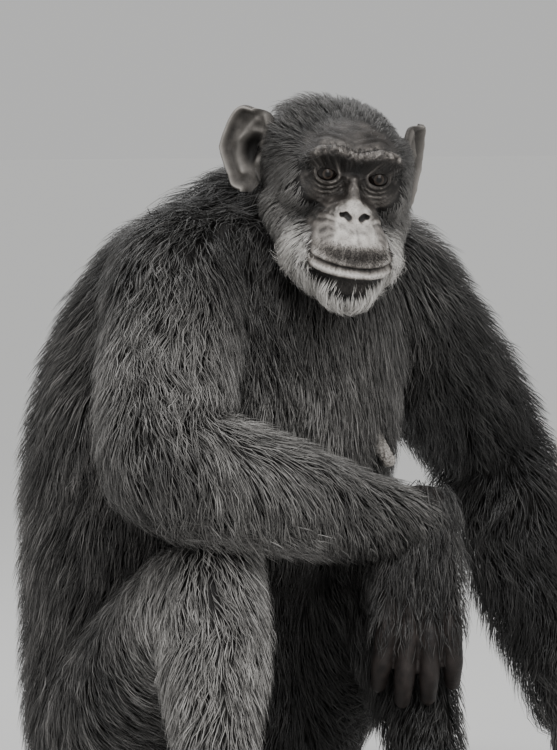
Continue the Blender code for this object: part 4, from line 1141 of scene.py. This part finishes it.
def body_painted_shade(points):
    """How much painted shade darkens the body's coat, from 0 to 1: most beside the neck, in the armpit, on the
    left arm and in the lap between the legs."""
    x, y, z = (points - SHIFT).T
    neck = 1.4 * soft_spot((x + 0.035) / 0.085, (z - 0.61) / 0.09) * fade((-0.02 - y) / 0.04)
    armpit = soft_spot((x + 0.09) / 0.035, (z - 0.50) / 0.10) * fade((-0.02 - y) / 0.04)
    left_arm = fade((x - 0.15) / 0.04)
    lap = fade((0.34 - z) / 0.03) * soft_spot((x - 0.02) / 0.07, z * 0, 4) * fade((-0.02 - y) / 0.05)
    return fade(neck + armpit + 0.8 * left_arm + lap)


def head_lie(p):
    """The way, length, depth and lift of the coat at points of the head, in its own frame in millimetres."""
    x, y, z = p.T
    side = np.sign(x)
    ones = np.ones(len(x))
    crown = np.stack([x * 0.012, ones, 0.25 - np.clip(y - 50, 0, 99) * 0.014], 1)
    cheek = np.stack([side * 0.30, ones * 0.50, ones * -0.85], 1)
    beard = np.stack([x * 0.014, ones * -0.06, ones * -1.0], 1)
    high = fade((z - 4) / 26)
    low = np.maximum(beard_area(p), fade((-96 - z) / 12) * fade((50 - y) / 20))
    mid = (1 - high) * (1 - low)
    flow = crown * high[:, None] + cheek * mid[:, None] + beard * low[:, None]
    grown = hair_on_head(p)
    back = fade((y - 24) / 50)
    tall = 0.6 + 1.9 * fade((-x - 6) / 36) - 0.3 * fade(x / 36)
    length = (13 + (13 + 8 * tall) * back) * high + (22 + 14 * back) * mid + 31 * low
    depth = (4 + 9 * back * tall) * high + (6 + 8 * back) * mid + 11 * low
    lift = (0.20 + 0.40 * back * tall) * high + 0.22 * mid + 0.60 * low
    near_ear = soft_spot((y - 80) / 24, (z + 4) / 42, 4) * (np.abs(x) > 44)
    near_face = 0.45 + 0.55 * grown
    short = near_face * (1 - 0.45 * near_ear)
    return flow, length * short * MM, depth * short * (1 - 0.5 * near_ear) * MM, lift * (1 - 0.8 * near_ear)


def head_spots(p):
    """Where points of the head lie on an unwrap of its skin, drawn out from its middle."""
    rays = unit(p - np.array(HEAD_MIDDLE))
    turn, height = np.arctan2(rays[:, 0], -rays[:, 1]), np.arcsin(rays[:, 2])
    return np.stack([turn / (2 * math.pi) + 0.5, height / math.pi + 0.5], 1)


# Materials, each named for the real finish.

def coat_material():
    """Long coarse black hair: keratin with a soft gloss, near black at the root and greyer to the tip."""
    colours = bpy.context.scene.chimp_coat
    made, tree, shader = new_material("coarse_black_hair", Roughness=0.40, IOR=1.55)
    tone, along, pale = (attribute(tree, name) for name in ("coat_tone", "coat_along", "coat_pale"))
    base = ramp(tree, tone, [(0.0, "#100f0f"), (0.45, colours.dark), (0.78, "#555351"), (1.0, colours.tip)])
    root = ramp(tree, along, [(0.0, 0.12), (0.45, 0.75), (1.0, 1.0)])
    dark = mixed(tree, 1.0, base, root, "MULTIPLY")
    grey = ramp(tree, along, [(0.35, 0.0), (1.0, 0.72)])
    tipped = mixed(tree, grey, dark, ramp(tree, tone, [(0.25, colours.dark), (0.9, colours.tip)]))
    paler = ramp(tree, along, [(0.0, 0.7), (0.4, 1.0)])
    white = ramp(tree, tone, [(0.0, "#aca8a4"), (0.35, "#dedad5"), (0.7, colours.white)])
    faded = mixed(tree, 1.0, paler, white, "MULTIPLY")
    colour = mixed(tree, pale, tipped, faded)
    return finished(made, tree, shader, colour, colours.dark)


def face_material():
    """Bare facial skin: dark and finely wrinkled at the brow and round the eyes, pale and speckled on the
    muzzle."""
    made, tree, shader = new_material("bare_face_skin", Roughness=0.50, IOR=1.4)
    place = add_node(tree, "ShaderNodeTexCoord").outputs["Object"]
    broad = add_node(tree, "ShaderNodeTexNoise", {"Vector": place}, Scale=70.0, Detail=5.0, Roughness=0.65)
    fine = add_node(tree, "ShaderNodeTexNoise", {"Vector": place}, Scale=520.0, Detail=3.0, Roughness=0.65)
    uneven = add_node(tree, "ShaderNodeMath", {0: broad.outputs["Fac"]}, operation="MULTIPLY_ADD")
    uneven.inputs[1].default_value, uneven.inputs[2].default_value = 0.30, -0.15
    tone = add_node(tree, "ShaderNodeMath", {0: attribute(tree, "tone"), 1: uneven.outputs[0]},
                    operation="ADD")
    skin = ramp(tree, tone.outputs[0], [(0.0, "#0e0d0c"), (0.25, "#312e2c"), (0.5, "#5f5a56"),
                                        (0.75, "#9c9690"), (1.0, "#cfcac4")])
    pores = ramp(tree, fine.outputs["Fac"], [(0.34, 0.62), (0.50, 1.0)])
    skin = mixed(tree, 1.0, skin, pores, "MULTIPLY")
    follicles = add_node(tree, "ShaderNodeTexVoronoi", {"Vector": place}, Scale=620.0)
    specks = ramp(tree, follicles.outputs["Distance"], [(0.28, 1.0), (0.48, 0.15)])
    grown = add_node(tree, "ShaderNodeMath", {0: specks, 1: attribute(tree, "stubble")},
                     operation="MULTIPLY")
    skin = mixed(tree, grown.outputs[0], skin, "#26211e")
    # Painted shade: the skin is darkened where the face's creases and folds sink in.
    skin = mixed(tree, attribute(tree, "fold"), skin, "#16120f")
    skin = mixed(tree, attribute(tree, "haired"), skin, "#141211")
    cells = add_node(tree, "ShaderNodeTexVoronoi", {"Vector": place}, Scale=420.0,
                     feature="DISTANCE_TO_EDGE")
    height = mixed(tree, 0.4, fine.outputs["Fac"], cells.outputs["Distance"])
    return finished(made, tree, shader, skin, "#5f5751", height, 0.8, 0.0016)


def leather_material(name, dark, light, rough=0.52):
    """Bare skin of hands, feet and ears: dark and dry, crossed by fine creases drawn darker as painted shade,
    and on the ears painted shade in the hollows and a painted highlight on the rims and ridges.
    """
    made, tree, shader = new_material(name, Roughness=rough, IOR=1.4)
    place = add_node(tree, "ShaderNodeTexCoord").outputs["Object"]
    broad = add_node(tree, "ShaderNodeTexNoise", {"Vector": place}, Scale=90.0, Detail=4.0)
    cells = add_node(tree, "ShaderNodeTexVoronoi", {"Vector": place}, Scale=650.0,
                     feature="DISTANCE_TO_EDGE")
    skin = ramp(tree, broad.outputs["Fac"], [(0.3, dark), (0.7, light)])
    # Painted shade: the fine creases, which the bump also sinks, are drawn darker.
    lines = ramp(tree, cells.outputs["Distance"], [(0.0, 0.6), (0.12, 1.0)])
    skin = mixed(tree, 1.0, skin, lines, "MULTIPLY")
    # Painted highlight on the ears' rims and ridges, and painted shade in their hollows, from the ears' attributes.
    skin = mixed(tree, attribute(tree, "edge"), skin, "#aaa59f")
    skin = mixed(tree, attribute(tree, "hollow_shade"), skin, "#0f0c0b")
    return finished(made, tree, shader, skin, light, cells.outputs["Distance"], 0.5, 0.001)


def bristle_material():
    """Short dark bristles of the lip, chin and brow."""
    made, tree, shader = new_material("short_black_bristle", Roughness=0.45, IOR=1.55)
    place = add_node(tree, "ShaderNodeTexCoord").outputs["Object"]
    grain = add_node(tree, "ShaderNodeTexNoise", {"Vector": place}, Scale=700.0, Detail=1.0)
    colour = ramp(tree, grain.outputs["Fac"], [(0.35, "#0d0b0a"), (0.7, "#3a3531")])
    return finished(made, tree, shader, colour, "#1d1a18")


def teat_material():
    """Bare skin of the teats: pale, dry and wrinkled crosswise, with painted shade in the low parts of the
    wrinkles.
    """
    made, tree, shader = new_material("bare_wrinkled_teat_skin", Roughness=0.5, IOR=1.4)
    place = add_node(tree, "ShaderNodeTexCoord").outputs["Object"]
    folds = add_node(tree, "ShaderNodeTexNoise", {"Vector": place}, Scale=480.0, Detail=3.0)
    # Painted shade: the low parts of the wrinkle noise, which the bump also sinks, are drawn darker.
    skin = ramp(tree, folds.outputs["Fac"], [(0.34, "#6d6863"), (0.5, "#a49f99"), (0.7, "#bdb8b2")])
    return finished(made, tree, shader, skin, "#b3a99f", folds.outputs["Fac"], 0.6, 0.0015)


def underskin_material():
    """Skin under the coat: black-grey, matt, and hardly seen between the hairs."""
    made, tree, shader = new_material("dark_skin_under_coat", Roughness=0.7, IOR=1.4)
    place = add_node(tree, "ShaderNodeTexCoord").outputs["Object"]
    grain = add_node(tree, "ShaderNodeTexNoise", {"Vector": place}, Scale=260.0, Detail=3.0)
    colour = ramp(tree, grain.outputs["Fac"], [(0.3, "#100f0e"), (0.7, "#1f1c1a")])
    return finished(made, tree, shader, colour, "#1a1817")


def eye_material():
    """A wet eyeball: black pupil, brown iris with a dark rim, and a brown-black white of the eye."""
    made, tree, shader = new_material("wet_brown_eye", Roughness=0.09, IOR=1.38)
    gaze = attribute(tree, "gaze")
    place = add_node(tree, "ShaderNodeTexCoord").outputs["Object"]
    rays = add_node(tree, "ShaderNodeTexNoise", {"Vector": place}, Scale=900.0, Detail=2.0)
    rings = ramp(tree, gaze, [(0.0, "#020202"), (0.19, "#030202"), (0.22, "#2b2521"), (0.38, "#4a4039"),
                              (0.46, "#0f0c0a"), (0.55, "#1a1614"), (1.0, "#2a2421")])
    tint = ramp(tree, rays.outputs["Fac"], [(0.3, 0.7), (0.7, 1.0)])
    colour = mixed(tree, 1.0, rings, tint, "MULTIPLY")
    return finished(made, tree, shader, colour, "#2f2219")


def nail_material():
    """Nails: dark, smooth horn with a dull gloss."""
    made, tree, shader = new_material("dark_nail_horn", Roughness=0.3, IOR=1.54)
    place = add_node(tree, "ShaderNodeTexCoord").outputs["Object"]
    grain = add_node(tree, "ShaderNodeTexNoise", {"Vector": place}, Scale=800.0, Detail=2.0)
    colour = ramp(tree, grain.outputs["Fac"], [(0.3, "#191514"), (0.7, "#332c29")])
    return finished(made, tree, shader, colour, "#191514")


# Sizes and colours that a user may change.

class ChimpCoatSettings(bpy.types.PropertyGroup):
    body_blades: IntProperty(name="Body tufts", description="Tufts on the body", default=96000, min=1000)
    head_blades: IntProperty(name="Head tufts", description="Tufts on the head", default=20000, min=500)
    hand_blades: IntProperty(name="Hand tufts", description="Tufts on each hand and foot", default=1900,
                             min=100)
    width: FloatProperty(name="Tuft width", description="Width of a tuft", default=0.00115, unit="LENGTH")
    clump: FloatProperty(name="Clump size", description="Size of a clump of tufts", default=0.011,
                         unit="LENGTH")
    bristles: FloatProperty(name="Bristles", description="Bristles on a square metre of lip",
                            default=900000.0)
    bristle_length: FloatProperty(name="Bristle length", description="Length of the face's bristles",
                                  default=0.0045, unit="LENGTH")
    dark: FloatVectorProperty(name="Hair colour", description="Colour of the coat", subtype="COLOR", size=4,
                              default=srgb("#2b2a29"))
    tip: FloatVectorProperty(name="Tip colour", description="Colour of the lighter tips", subtype="COLOR",
                             size=4, default=srgb("#a3a09d"))
    white: FloatVectorProperty(name="Beard colour", description="Colour of the beard", subtype="COLOR",
                               size=4, default=srgb("#f2efea"))


class ChimpSkinSettings(bpy.types.PropertyGroup):
    voxel: FloatProperty(name="Skin detail", description="Size of the body skin's faces", default=0.0055,
                         unit="LENGTH")


class ChimpStageSettings(bpy.types.PropertyGroup):
    sun: FloatProperty(name="Key light", description="Strength of the wide, soft main light", default=2.3)
    fill: FloatProperty(name="Fill light", description="Power of the soft second light", default=62.0,
                        unit="POWER")
    sky: FloatProperty(name="Room light", description="Brightness of the room", default=0.72)
    lens: FloatProperty(name="Lens", description="Focal length of the camera", default=240.0, unit="CAMERA")
    floor: FloatVectorProperty(name="Floor colour", description="Colour of the plain floor", subtype="COLOR",
                               size=4, default=srgb("#bebebd"))


# Operators, one for each piece or group of like pieces.

class ChimpBodySkin(bpy.types.Operator):
    """Makes the one skin of the trunk, neck, arms and legs"""
    bl_idname = "chimp.body_skin"
    bl_label = "Body skin"

    def execute(self, context):
        bm = bmesh.new()
        for limb in LIMBS.values():
            limb.mesh(bm, 30, 36)
        for sign in (-1, 1):
            breast = round_rows([teat_point(sign, t) for t in (-1.6, -0.9, -0.2)], [0.030, 0.026, 0.016])
            Limb(breast, (1, 0, 0), dome=0.7).mesh(bm, 8, 20)
        mesh = on_floor(remeshed(bm, "skin_body", context.scene.chimp_skin.voxel, 6))
        new_piece("skin_body", mesh, underskin_material(), "coat", *LIMBS)
        return {"FINISHED"}


class ChimpHeadSkin(bpy.types.Operator):
    """Makes the skin of the head, with the face's folds"""
    bl_idname = "chimp.head_skin"
    bl_label = "Head skin"

    def execute(self, context):
        points, faces = head_points()
        mesh = array_mesh("skin_head", moved(points, head_place()), faces)
        point_values(mesh, "tone", face_tone(points))
        point_values(mesh, "stubble", stubble(points))
        point_values(mesh, "haired", np.clip(hair_on_head(points) * 1.3 - 0.35, 0, 0.9))
        # The fold attribute carries painted shade for the face's creases and folds.
        point_values(mesh, "fold", np.clip(face_folds(points) / 2.2, 0, 0.8))
        new_piece("skin_head", outwards(mesh), face_material(), "face", "head")
        return {"FINISHED"}


class ChimpEars(bpy.types.Operator):
    """Makes both ears"""
    bl_idname = "chimp.ears"
    bl_label = "Ears"

    def execute(self, context):
        look = leather_material("bare_ear_skin", "#3b3835", "#5e5a56", 0.66)
        for side, sign in (("right", -1), ("left", 1)):
            points, faces, hollow_shade, light = ear_shell(side)
            points = moved(points * (sign, 1, 1), head_place())
            mesh = outwards(array_mesh(f"ear_{side}_skin", points, faces))
            # Painted shade in the hollows, and a painted highlight on the rim and ridges that is weaker on the left
            # ear.
            point_values(mesh, "hollow_shade", hollow_shade * 0.95)
            point_values(mesh, "edge", light * (0.68 if sign < 0 else 0.5))
            new_piece(f"ear_{side}_skin", mesh, look, "face", f"ear_{side}")
        return {"FINISHED"}


class ChimpEyes(bpy.types.Operator):
    """Makes both eyeballs"""
    bl_idname = "chimp.eyes"
    bl_label = "Eyes"

    def execute(self, context):
        look = eye_material()
        for side, sign in (("right", -1), ("left", 1)):
            points, faces = ball(5, EYE_RADIUS)
            gaze = unit(np.array((sign * -0.03, -1.0, -0.03)))
            off = np.arccos(np.clip(unit(points) @ gaze, -1, 1))
            points *= (1 + 0.05 * peak(off, 0.42))[:, None]
            centre = np.array((sign * EYE_CENTRE[0], EYE_CENTRE[1], EYE_CENTRE[2]))
            mesh = array_mesh(f"eyeball_{side}", moved(points + centre, head_place()), faces)
            point_values(mesh, "gaze", off)
            new_piece(f"eyeball_{side}", outwards(mesh), look, "eye", f"eye_{side}")
        return {"FINISHED"}


class ChimpHandsFeet(bpy.types.Operator):
    """Makes the hands and feet with their nails"""
    bl_idname = "chimp.hands_feet"
    bl_label = "Hands and feet"

    def execute(self, context):
        look, horn = leather_material("dark_hand_leather", "#171312", "#352e2b"), nail_material()
        for name, make in (("hand_right", hand_mesh), ("hand_left", hand_mesh),
                           ("foot_right", foot_mesh), ("foot_left", foot_mesh)):
            mesh, tips, out = make(name)
            new_piece(f"skin_{name}", mesh, look, "hand", name)
            new_piece(f"nails_{name}", nail_mesh(f"nails_{name}", tips, out), horn, "hand", name)
        return {"FINISHED"}


class ChimpTeats(bpy.types.Operator):
    """Makes the two bare teats of the breast"""
    bl_idname = "chimp.teats"
    bl_label = "Teats"

    def execute(self, context):
        look = teat_material()
        for side, sign in (("right", -1), ("left", 1)):
            bm = bmesh.new()
            spots = [teat_point(sign, t) for t in (-0.4, 0.0, 0.35, 0.7, 1.0)]
            form = Limb(round_rows(spots, [0.0100, 0.0095, 0.0082, 0.0074, 0.0068]), (1, 0, 0), dome=0.8)
            form.mesh(bm, 26, 28)
            mesh = remeshed(bm, f"teat_{side}", 0.0010, 2)
            points = mesh_points(mesh)
            wrinkle = np.sin(points[:, 2] * 2 * math.pi / 0.0042 + 1.5 * wander(points, 0.012, 80))
            relief = 0.00022 * wrinkle + 0.00045 * wander(points, 0.005, 81)
            points += vertex_normals(mesh) * relief[:, None]
            set_points(mesh, points)
            new_piece(f"teat_{side}", outwards(mesh), look, "face", "torso")
        return {"FINISHED"}


class ChimpBodyCoat(bpy.types.Operator):
    """Makes the coat of the trunk, neck, arms and legs"""
    bl_idname = "chimp.body_coat"
    bl_label = "Body coat"

    def execute(self, context):
        settings = context.scene.chimp_coat
        skin = bpy.data.objects["skin_body"]
        vertices = mesh_points(skin.data)
        inside_head = head_distance(moved(vertices, head_place().inverted())) < -2
        weight = np.where(inside_head | (vertices[:, 2] < 0.006), 0.0, 1.0)
        weight *= np.clip((teat_gap(vertices) - 0.017) / 0.016, 0.02, 1)
        roots, normals = scattered(skin.data, settings.body_blades, weight, 11)
        flow, length, depth, part, uv = body_lie(roots)
        length *= np.clip((teat_gap(roots) - 0.004) / 0.055, 0.2, 1)
        swirl = np.column_stack([wander(roots, 0.11, 20 + k) * 0.24 + wander(roots, 0.035, 30 + k) * 0.12
                                 for k in range(3)])
        names = list(LIMBS)
        stick, lift = np.full(len(roots), 0.78), np.full(len(roots), 0.22)
        for name, hold, rise, more in (("forearm_right", 0.62, 0.25, 1.1),
                                       ("forearm_left", 0.62, 0.45, 1.35),
                                       ("upper_arm_left", 0.66, 0.45, 1.35), ("torso", 0.72, 0.30, 1.1)):
            own = part == names.index(name)
            stick[own], lift[own] = hold, rise
            depth[own] *= more
        paths, outs, tone = blade_paths(
            roots, normals, unit(flow) + swirl, length, depth, tree_of(skin), stick, lift, settings.clump, 0.30, 12)
        # Partly grey hair and partly painted sheen on the breast, the front of the right arm and the knees.
        grey = body_grey_and_sheen(roots)
        strands = {
            "paths": paths, "outs": outs, "uv": uv,
            # Painted shade darkens the tone beside the neck, in the armpit, on the left arm and in the lap.
            "tone": fade((tone * 0.85 + 0.05 + wander(roots, 0.16, 41) * 0.08
                          + wander(roots, 0.022, 42) * 0.07
                             + grey * 0.12) * (1 - 0.48 * body_painted_shade(roots))),
            "width": settings.width * np.random.default_rng(13).uniform(0.6, 1.25, len(roots)),
            "pale": grey * 0.36 * np.random.default_rng(14).uniform(0.1, 1.0, len(roots)),
        }
        look = coat_material()
        for k, name in enumerate(names):
            if (part == k).any():
                coat_pieces(f"coat_{name}", np.flatnonzero(part == k), strands, look, name)
        return {"FINISHED"}


class ChimpHeadCoat(bpy.types.Operator):
    """Makes the hair of the crown, cheeks, chin and nape"""
    bl_idname = "chimp.head_coat"
    bl_label = "Head coat"

    def execute(self, context):
        settings = context.scene.chimp_coat
        skin = bpy.data.objects["skin_head"]
        back = head_place().inverted()
        vertices = moved(mesh_points(skin.data), back)
        roots, normals = scattered(skin.data, settings.head_blades, hair_on_head(vertices), 51)
        local = moved(roots, back)
        flow, length, depth, lift = head_lie(local)
        turn = np.array(head_turn().to_3x3()) / MM
        swirl = np.column_stack([wander(roots, 0.05, 60 + k) * 0.18 for k in range(3)])
        paths, outs, tone = blade_paths(
            roots, normals, unit(flow @ turn.T) + swirl, length, depth, tree_of(skin),
            0.5 - 0.3 * beard_area(local), lift, 0.0055, 0.22, 52)
        draw = np.random.default_rng(53)
        strands = {
            "paths": paths, "outs": outs, "uv": head_spots(local) * (1 - PATCH),
            "tone": tone * (0.75 + 0.25 * hair_pale(local)),
            "width": settings.width * 0.56 * draw.uniform(0.6, 1.25, len(roots)),
            "pale": fade(hair_pale(local) * draw.uniform(0.6, 1.25, len(roots))),
        }
        look = coat_material_of()
        crown = local[:, 2] > 2
        for title, chosen in (("coat_crown", crown), ("coat_cheeks", ~crown)):
            coat_pieces(title, np.flatnonzero(chosen), strands, look, "head")
        return {"FINISHED"}


class ChimpHandCoat(bpy.types.Operator):
    """Makes the hair on the backs of the hands and feet"""
    bl_idname = "chimp.hand_coat"
    bl_label = "Hand and foot coat"

    def execute(self, context):
        settings = context.scene.chimp_coat
        look = coat_material_of()
        for n, name in enumerate(("hand_right", "hand_left", "foot_right", "foot_left")):
            skin = bpy.data.objects[f"skin_{name}"]
            start, along, out, reach, longest = limb_end(name)
            side = np.cross(along, out)
            rel = mesh_points(skin.data) - start
            far = rel @ along / reach
            weight = fade(1.2 - far) * fade((vertex_normals(skin.data) @ out + 0.6) / 0.5)
            roots, normals = scattered(skin.data, settings.hand_blades, weight, 100 + n)
            far = (roots - start) @ along / reach
            length = longest * np.clip(1.2 - 0.65 * far, 0.3, 1.2)
            spots = roots - start
            fan = along + (spots @ side)[:, None] * side * 6 + out * 0.1
            paths, outs, tone = blade_paths(
                roots, normals, fan, length, length * 0.30, tree_of(skin), np.full(len(roots), 0.55),
                np.full(len(roots), 0.30), 0.007, 0.25, 110 + n)
            turn = np.arctan2(spots @ side, spots @ out) / (2 * math.pi) + 0.5
            strands = {
                "paths": paths, "outs": outs, "tone": tone * 0.8, "pale": np.zeros(len(roots)),
                "uv": np.stack([turn, fade(far * 0.5 + 0.3)], 1) * (1 - PATCH),
                "width": (settings.width * 0.75
                          * np.random.default_rng(120 + n).uniform(0.6, 1.2, len(roots))),
            }
            coat_pieces(f"coat_{name}", np.arange(len(roots)), strands, look, name)
        return {"FINISHED"}


class ChimpBristles(bpy.types.Operator):
    """Makes the short bristles of the lip, chin and brow"""
    bl_idname = "chimp.bristles"
    bl_label = "Face bristles"

    def execute(self, context):
        settings = context.scene.chimp_coat
        skin = bpy.data.objects["skin_head"]
        bare = skin.data.copy()
        local = moved(mesh_points(bare), head_place().inverted())
        point_values(bare, "bristle", stubble(local))
        turn = np.array(head_turn().to_3x3()) / MM
        down = np.column_stack([local[:, 0] * 0.012, np.full(len(local), -0.2),
                                np.where(local[:, 2] > 0, 0.5, -1.0)])
        lie = bare.attributes.new("lie", "FLOAT_VECTOR", "POINT")
        lie.data.foreach_set("vector", np.ascontiguousarray(unit(down @ turn.T), np.float32).ravel())
        holder = linked("bristled", bare)
        grower = holder.modifiers.new("bristles", "NODES")
        grower.node_group = bristle_tree(bristle_material())
        values = {"Density": settings.bristles, "Length": settings.bristle_length, "Thickness": 0.00032,
                  "Seed": 7}
        for item in grower.node_group.interface.items_tree:
            if item.in_out == "INPUT" and item.name in values:
                grower[item.identifier] = values[item.name]
        made = bpy.data.meshes.new_from_object(holder.evaluated_get(context.evaluated_depsgraph_get()))
        bpy.data.objects.remove(holder)
        bpy.data.meshes.remove(bare)
        made.name = "face_bristles"
        roots = np.empty(len(made.vertices) * 3, np.float32)
        made.attributes["root"].data.foreach_get("vector", roots)
        uv = head_spots(moved(roots.reshape(-1, 3).astype(float), head_place().inverted()))
        corners = np.empty(len(made.loops), np.int32)
        made.loops.foreach_get("vertex_index", corners)
        spread = np.tile([0.0, 0.5, 1.0, 0.5], len(uv) // 4 + 1)[:len(uv), None] * PATCH
        set_patches(made, uv * (1 - PATCH) + spread, corners)
        new_piece("face_bristles", made, bristle_material_of(), "coat", "head")
        return {"FINISHED"}


def bristle_tree(look):
    """Geometry Nodes that set short tapered bristles over a mesh, as dense as its attribute says, each
    leaning the way that the mesh's lie attribute gives."""
    tree = bpy.data.node_groups.new("short_bristles", "GeometryNodeTree")
    tree.interface.new_socket("Skin", in_out="INPUT", socket_type="NodeSocketGeometry")
    for name in ("Density", "Length", "Thickness"):
        tree.interface.new_socket(name, in_out="INPUT", socket_type="NodeSocketFloat")
    tree.interface.new_socket("Seed", in_out="INPUT", socket_type="NodeSocketInt")
    tree.interface.new_socket("Bristles", in_out="OUTPUT", socket_type="NodeSocketGeometry")
    given = add_node(tree, "NodeGroupInput").outputs
    dense = add_node(tree, "GeometryNodeInputNamedAttribute", data_type="FLOAT",
                     Name="bristle").outputs["Attribute"]
    amount = add_node(tree, "ShaderNodeMath", {0: dense, 1: given["Density"]},
                      operation="MULTIPLY").outputs[0]
    spread = add_node(tree, "GeometryNodeDistributePointsOnFaces",
                      {"Mesh": given["Skin"], "Density": amount, "Seed": given["Seed"]})
    place = add_node(tree, "GeometryNodeInputPosition").outputs[0]
    kept = add_node(tree, "GeometryNodeStoreNamedAttribute",
                    {"Geometry": spread.outputs["Points"], "Value": place},
                    data_type="FLOAT_VECTOR", domain="POINT", Name="root")
    lie = add_node(tree, "GeometryNodeInputNamedAttribute", data_type="FLOAT_VECTOR",
                   Name="lie").outputs["Attribute"]
    half = add_node(tree, "ShaderNodeVectorMath", {0: spread.outputs["Normal"]}, operation="SCALE",
                    Scale=0.7)
    way = add_node(tree, "ShaderNodeVectorMath", {0: half.outputs[0], 1: lie}, operation="ADD").outputs[0]
    turn = add_node(tree, "FunctionNodeAlignRotationToVector", {"Vector": way}, axis="Z").outputs[0]
    vary = add_node(tree, "FunctionNodeRandomValue", {"Seed": given["Seed"]}, data_type="FLOAT")
    vary.inputs[2].default_value, vary.inputs[3].default_value = 0.5, 1.2
    tall = add_node(tree, "ShaderNodeMath", {0: vary.outputs[1], 1: given["Length"]},
                    operation="MULTIPLY").outputs[0]
    size = add_node(tree, "ShaderNodeCombineXYZ",
                    {"X": given["Thickness"], "Y": given["Thickness"], "Z": tall})
    cone = add_node(tree, "GeometryNodeMeshCone", Vertices=3, Radius_Top=0.0, Radius_Bottom=0.5, Depth=1.0)
    copies = add_node(tree, "GeometryNodeInstanceOnPoints",
                      {"Points": kept.outputs["Geometry"], "Instance": cone.outputs["Mesh"],
                       "Rotation": turn, "Scale": size.outputs[0]})
    real = add_node(tree, "GeometryNodeRealizeInstances", {"Geometry": copies.outputs["Instances"]})
    dressed = add_node(tree, "GeometryNodeSetMaterial", {"Geometry": real.outputs["Geometry"]},
                       Material=look)
    add_node(tree, "NodeGroupOutput", {"Bristles": dressed.outputs["Geometry"]})
    return tree


def limb_end(name):
    """Where a hand's or foot's hair starts, the way it runs, the way out of its back, how far it reaches,
    and its greatest length."""
    if name.startswith("hand"):
        wrist, down, dorsal, _ = hand_frame(name)
        return wrist, down, dorsal, 0.105, (0.052 if name == "hand_right" else 0.026)
    ankle, toes, _ = FEET[name]
    return placed(ankle) * (1, 1, 0) + UP * 0.05, unit(np.array(toes, float)), UP, 0.075, 0.020


def bristle_material_of():
    return bpy.data.materials["short_black_bristle"]


def coat_material_of():
    return bpy.data.materials.get("coarse_black_hair") or coat_material()


def add_light(lamp, name, place, aim):
    holder = bpy.data.objects.new(name, lamp)
    holder.location = place
    holder.rotation_euler = (Vector(aim) - Vector(place)).to_track_quat("-Z", "Y").to_euler()
    bpy.context.scene.collection.objects.link(holder)


class ChimpStage(bpy.types.Operator):
    """Makes the plain floor, the soft lights and the camera"""
    bl_idname = "chimp.stage"
    bl_label = "Stage"

    def execute(self, context):
        settings = context.scene.chimp_stage
        bm = bmesh.new()
        bmesh.ops.create_grid(bm, x_segments=1, y_segments=1, size=60)
        floor = linked("floor", released(bm, "floor"))
        look, _, shader = new_material("plain_pale_floor", Roughness=0.9)
        shader.inputs["Base Color"].default_value = tuple(settings.floor)
        floor.data.materials.append(look)
        for name, power, size, place in (
            ("fill_light", settings.fill, 2.6, (-1.4, -4.4, 1.9)),
            ("top_light", settings.fill, 2.0, (0.3, 1.4, 3.2)),
        ):
            lamp = bpy.data.lights.new(name, "AREA")
            lamp.energy, lamp.size = power, size
            add_light(lamp, name, place, (0, 0, 0.4))
        sun = bpy.data.lights.new("key_light", "SUN")
        sun.energy, sun.angle = settings.sun, math.radians(22)
        add_light(sun, "key_light", (-2.2, -2.4, 4.2), (0, 0, 0.4))
        world = bpy.data.worlds.new("soft_room")
        world.use_nodes = True
        light = world.node_tree.nodes["Background"]
        light.inputs["Color"].default_value = srgb("#e6e6e5")
        light.inputs["Strength"].default_value = settings.sky
        context.scene.world = world
        lens = bpy.data.cameras.new("camera")
        lens.sensor_width, lens.lens, lens.clip_end = 36.0, settings.lens, 100.0
        camera = bpy.data.objects.new("camera", lens)
        stand, aim = Vector(placed((-3.237, -3.998, 0.747))), Vector(placed((-0.0275, -0.1728, 0.485)))
        camera.location = stand
        camera.rotation_euler = (aim - stand).to_track_quat("-Z", "Y").to_euler()
        context.scene.collection.objects.link(camera)
        context.scene.camera = camera
        return {"FINISHED"}


class ChimpPanel(bpy.types.Panel):
    bl_idname = "VIEW3D_PT_chimp"
    bl_label = "Chimpanzee"
    bl_space_type = "VIEW_3D"
    bl_region_type = "UI"
    bl_category = "Chimpanzee"

    def draw(self, context):
        for operator in OPERATORS:
            self.layout.operator(operator.bl_idname)
        for group in (context.scene.chimp_coat, context.scene.chimp_skin, context.scene.chimp_stage):
            for name in group.bl_rna.properties.keys():
                if name not in ("name", "rna_type"):
                    self.layout.prop(group, name)


SETTINGS = {"chimp_coat": ChimpCoatSettings, "chimp_skin": ChimpSkinSettings,
            "chimp_stage": ChimpStageSettings}
OPERATORS = (ChimpBodySkin, ChimpHeadSkin, ChimpEars, ChimpEyes, ChimpHandsFeet, ChimpTeats, ChimpBodyCoat,
             ChimpHeadCoat, ChimpHandCoat, ChimpBristles, ChimpStage)


def register():
    for made in (*SETTINGS.values(), *OPERATORS, ChimpPanel):
        bpy.utils.register_class(made)
    for name, group in SETTINGS.items():
        setattr(bpy.types.Scene, name, PointerProperty(type=group))


def unregister():
    for name in SETTINGS:
        delattr(bpy.types.Scene, name)
    for made in reversed((*SETTINGS.values(), *OPERATORS, ChimpPanel)):
        bpy.utils.unregister_class(made)


def main():
    register()
    bpy.ops.chimp.body_skin()
    bpy.ops.chimp.head_skin()
    bpy.ops.chimp.ears()
    bpy.ops.chimp.eyes()
    bpy.ops.chimp.hands_feet()
    bpy.ops.chimp.teats()
    bpy.ops.chimp.body_coat()
    bpy.ops.chimp.head_coat()
    bpy.ops.chimp.hand_coat()
    bpy.ops.chimp.bristles()
    bpy.ops.chimp.stage()


if __name__ == "__main__":
    main()
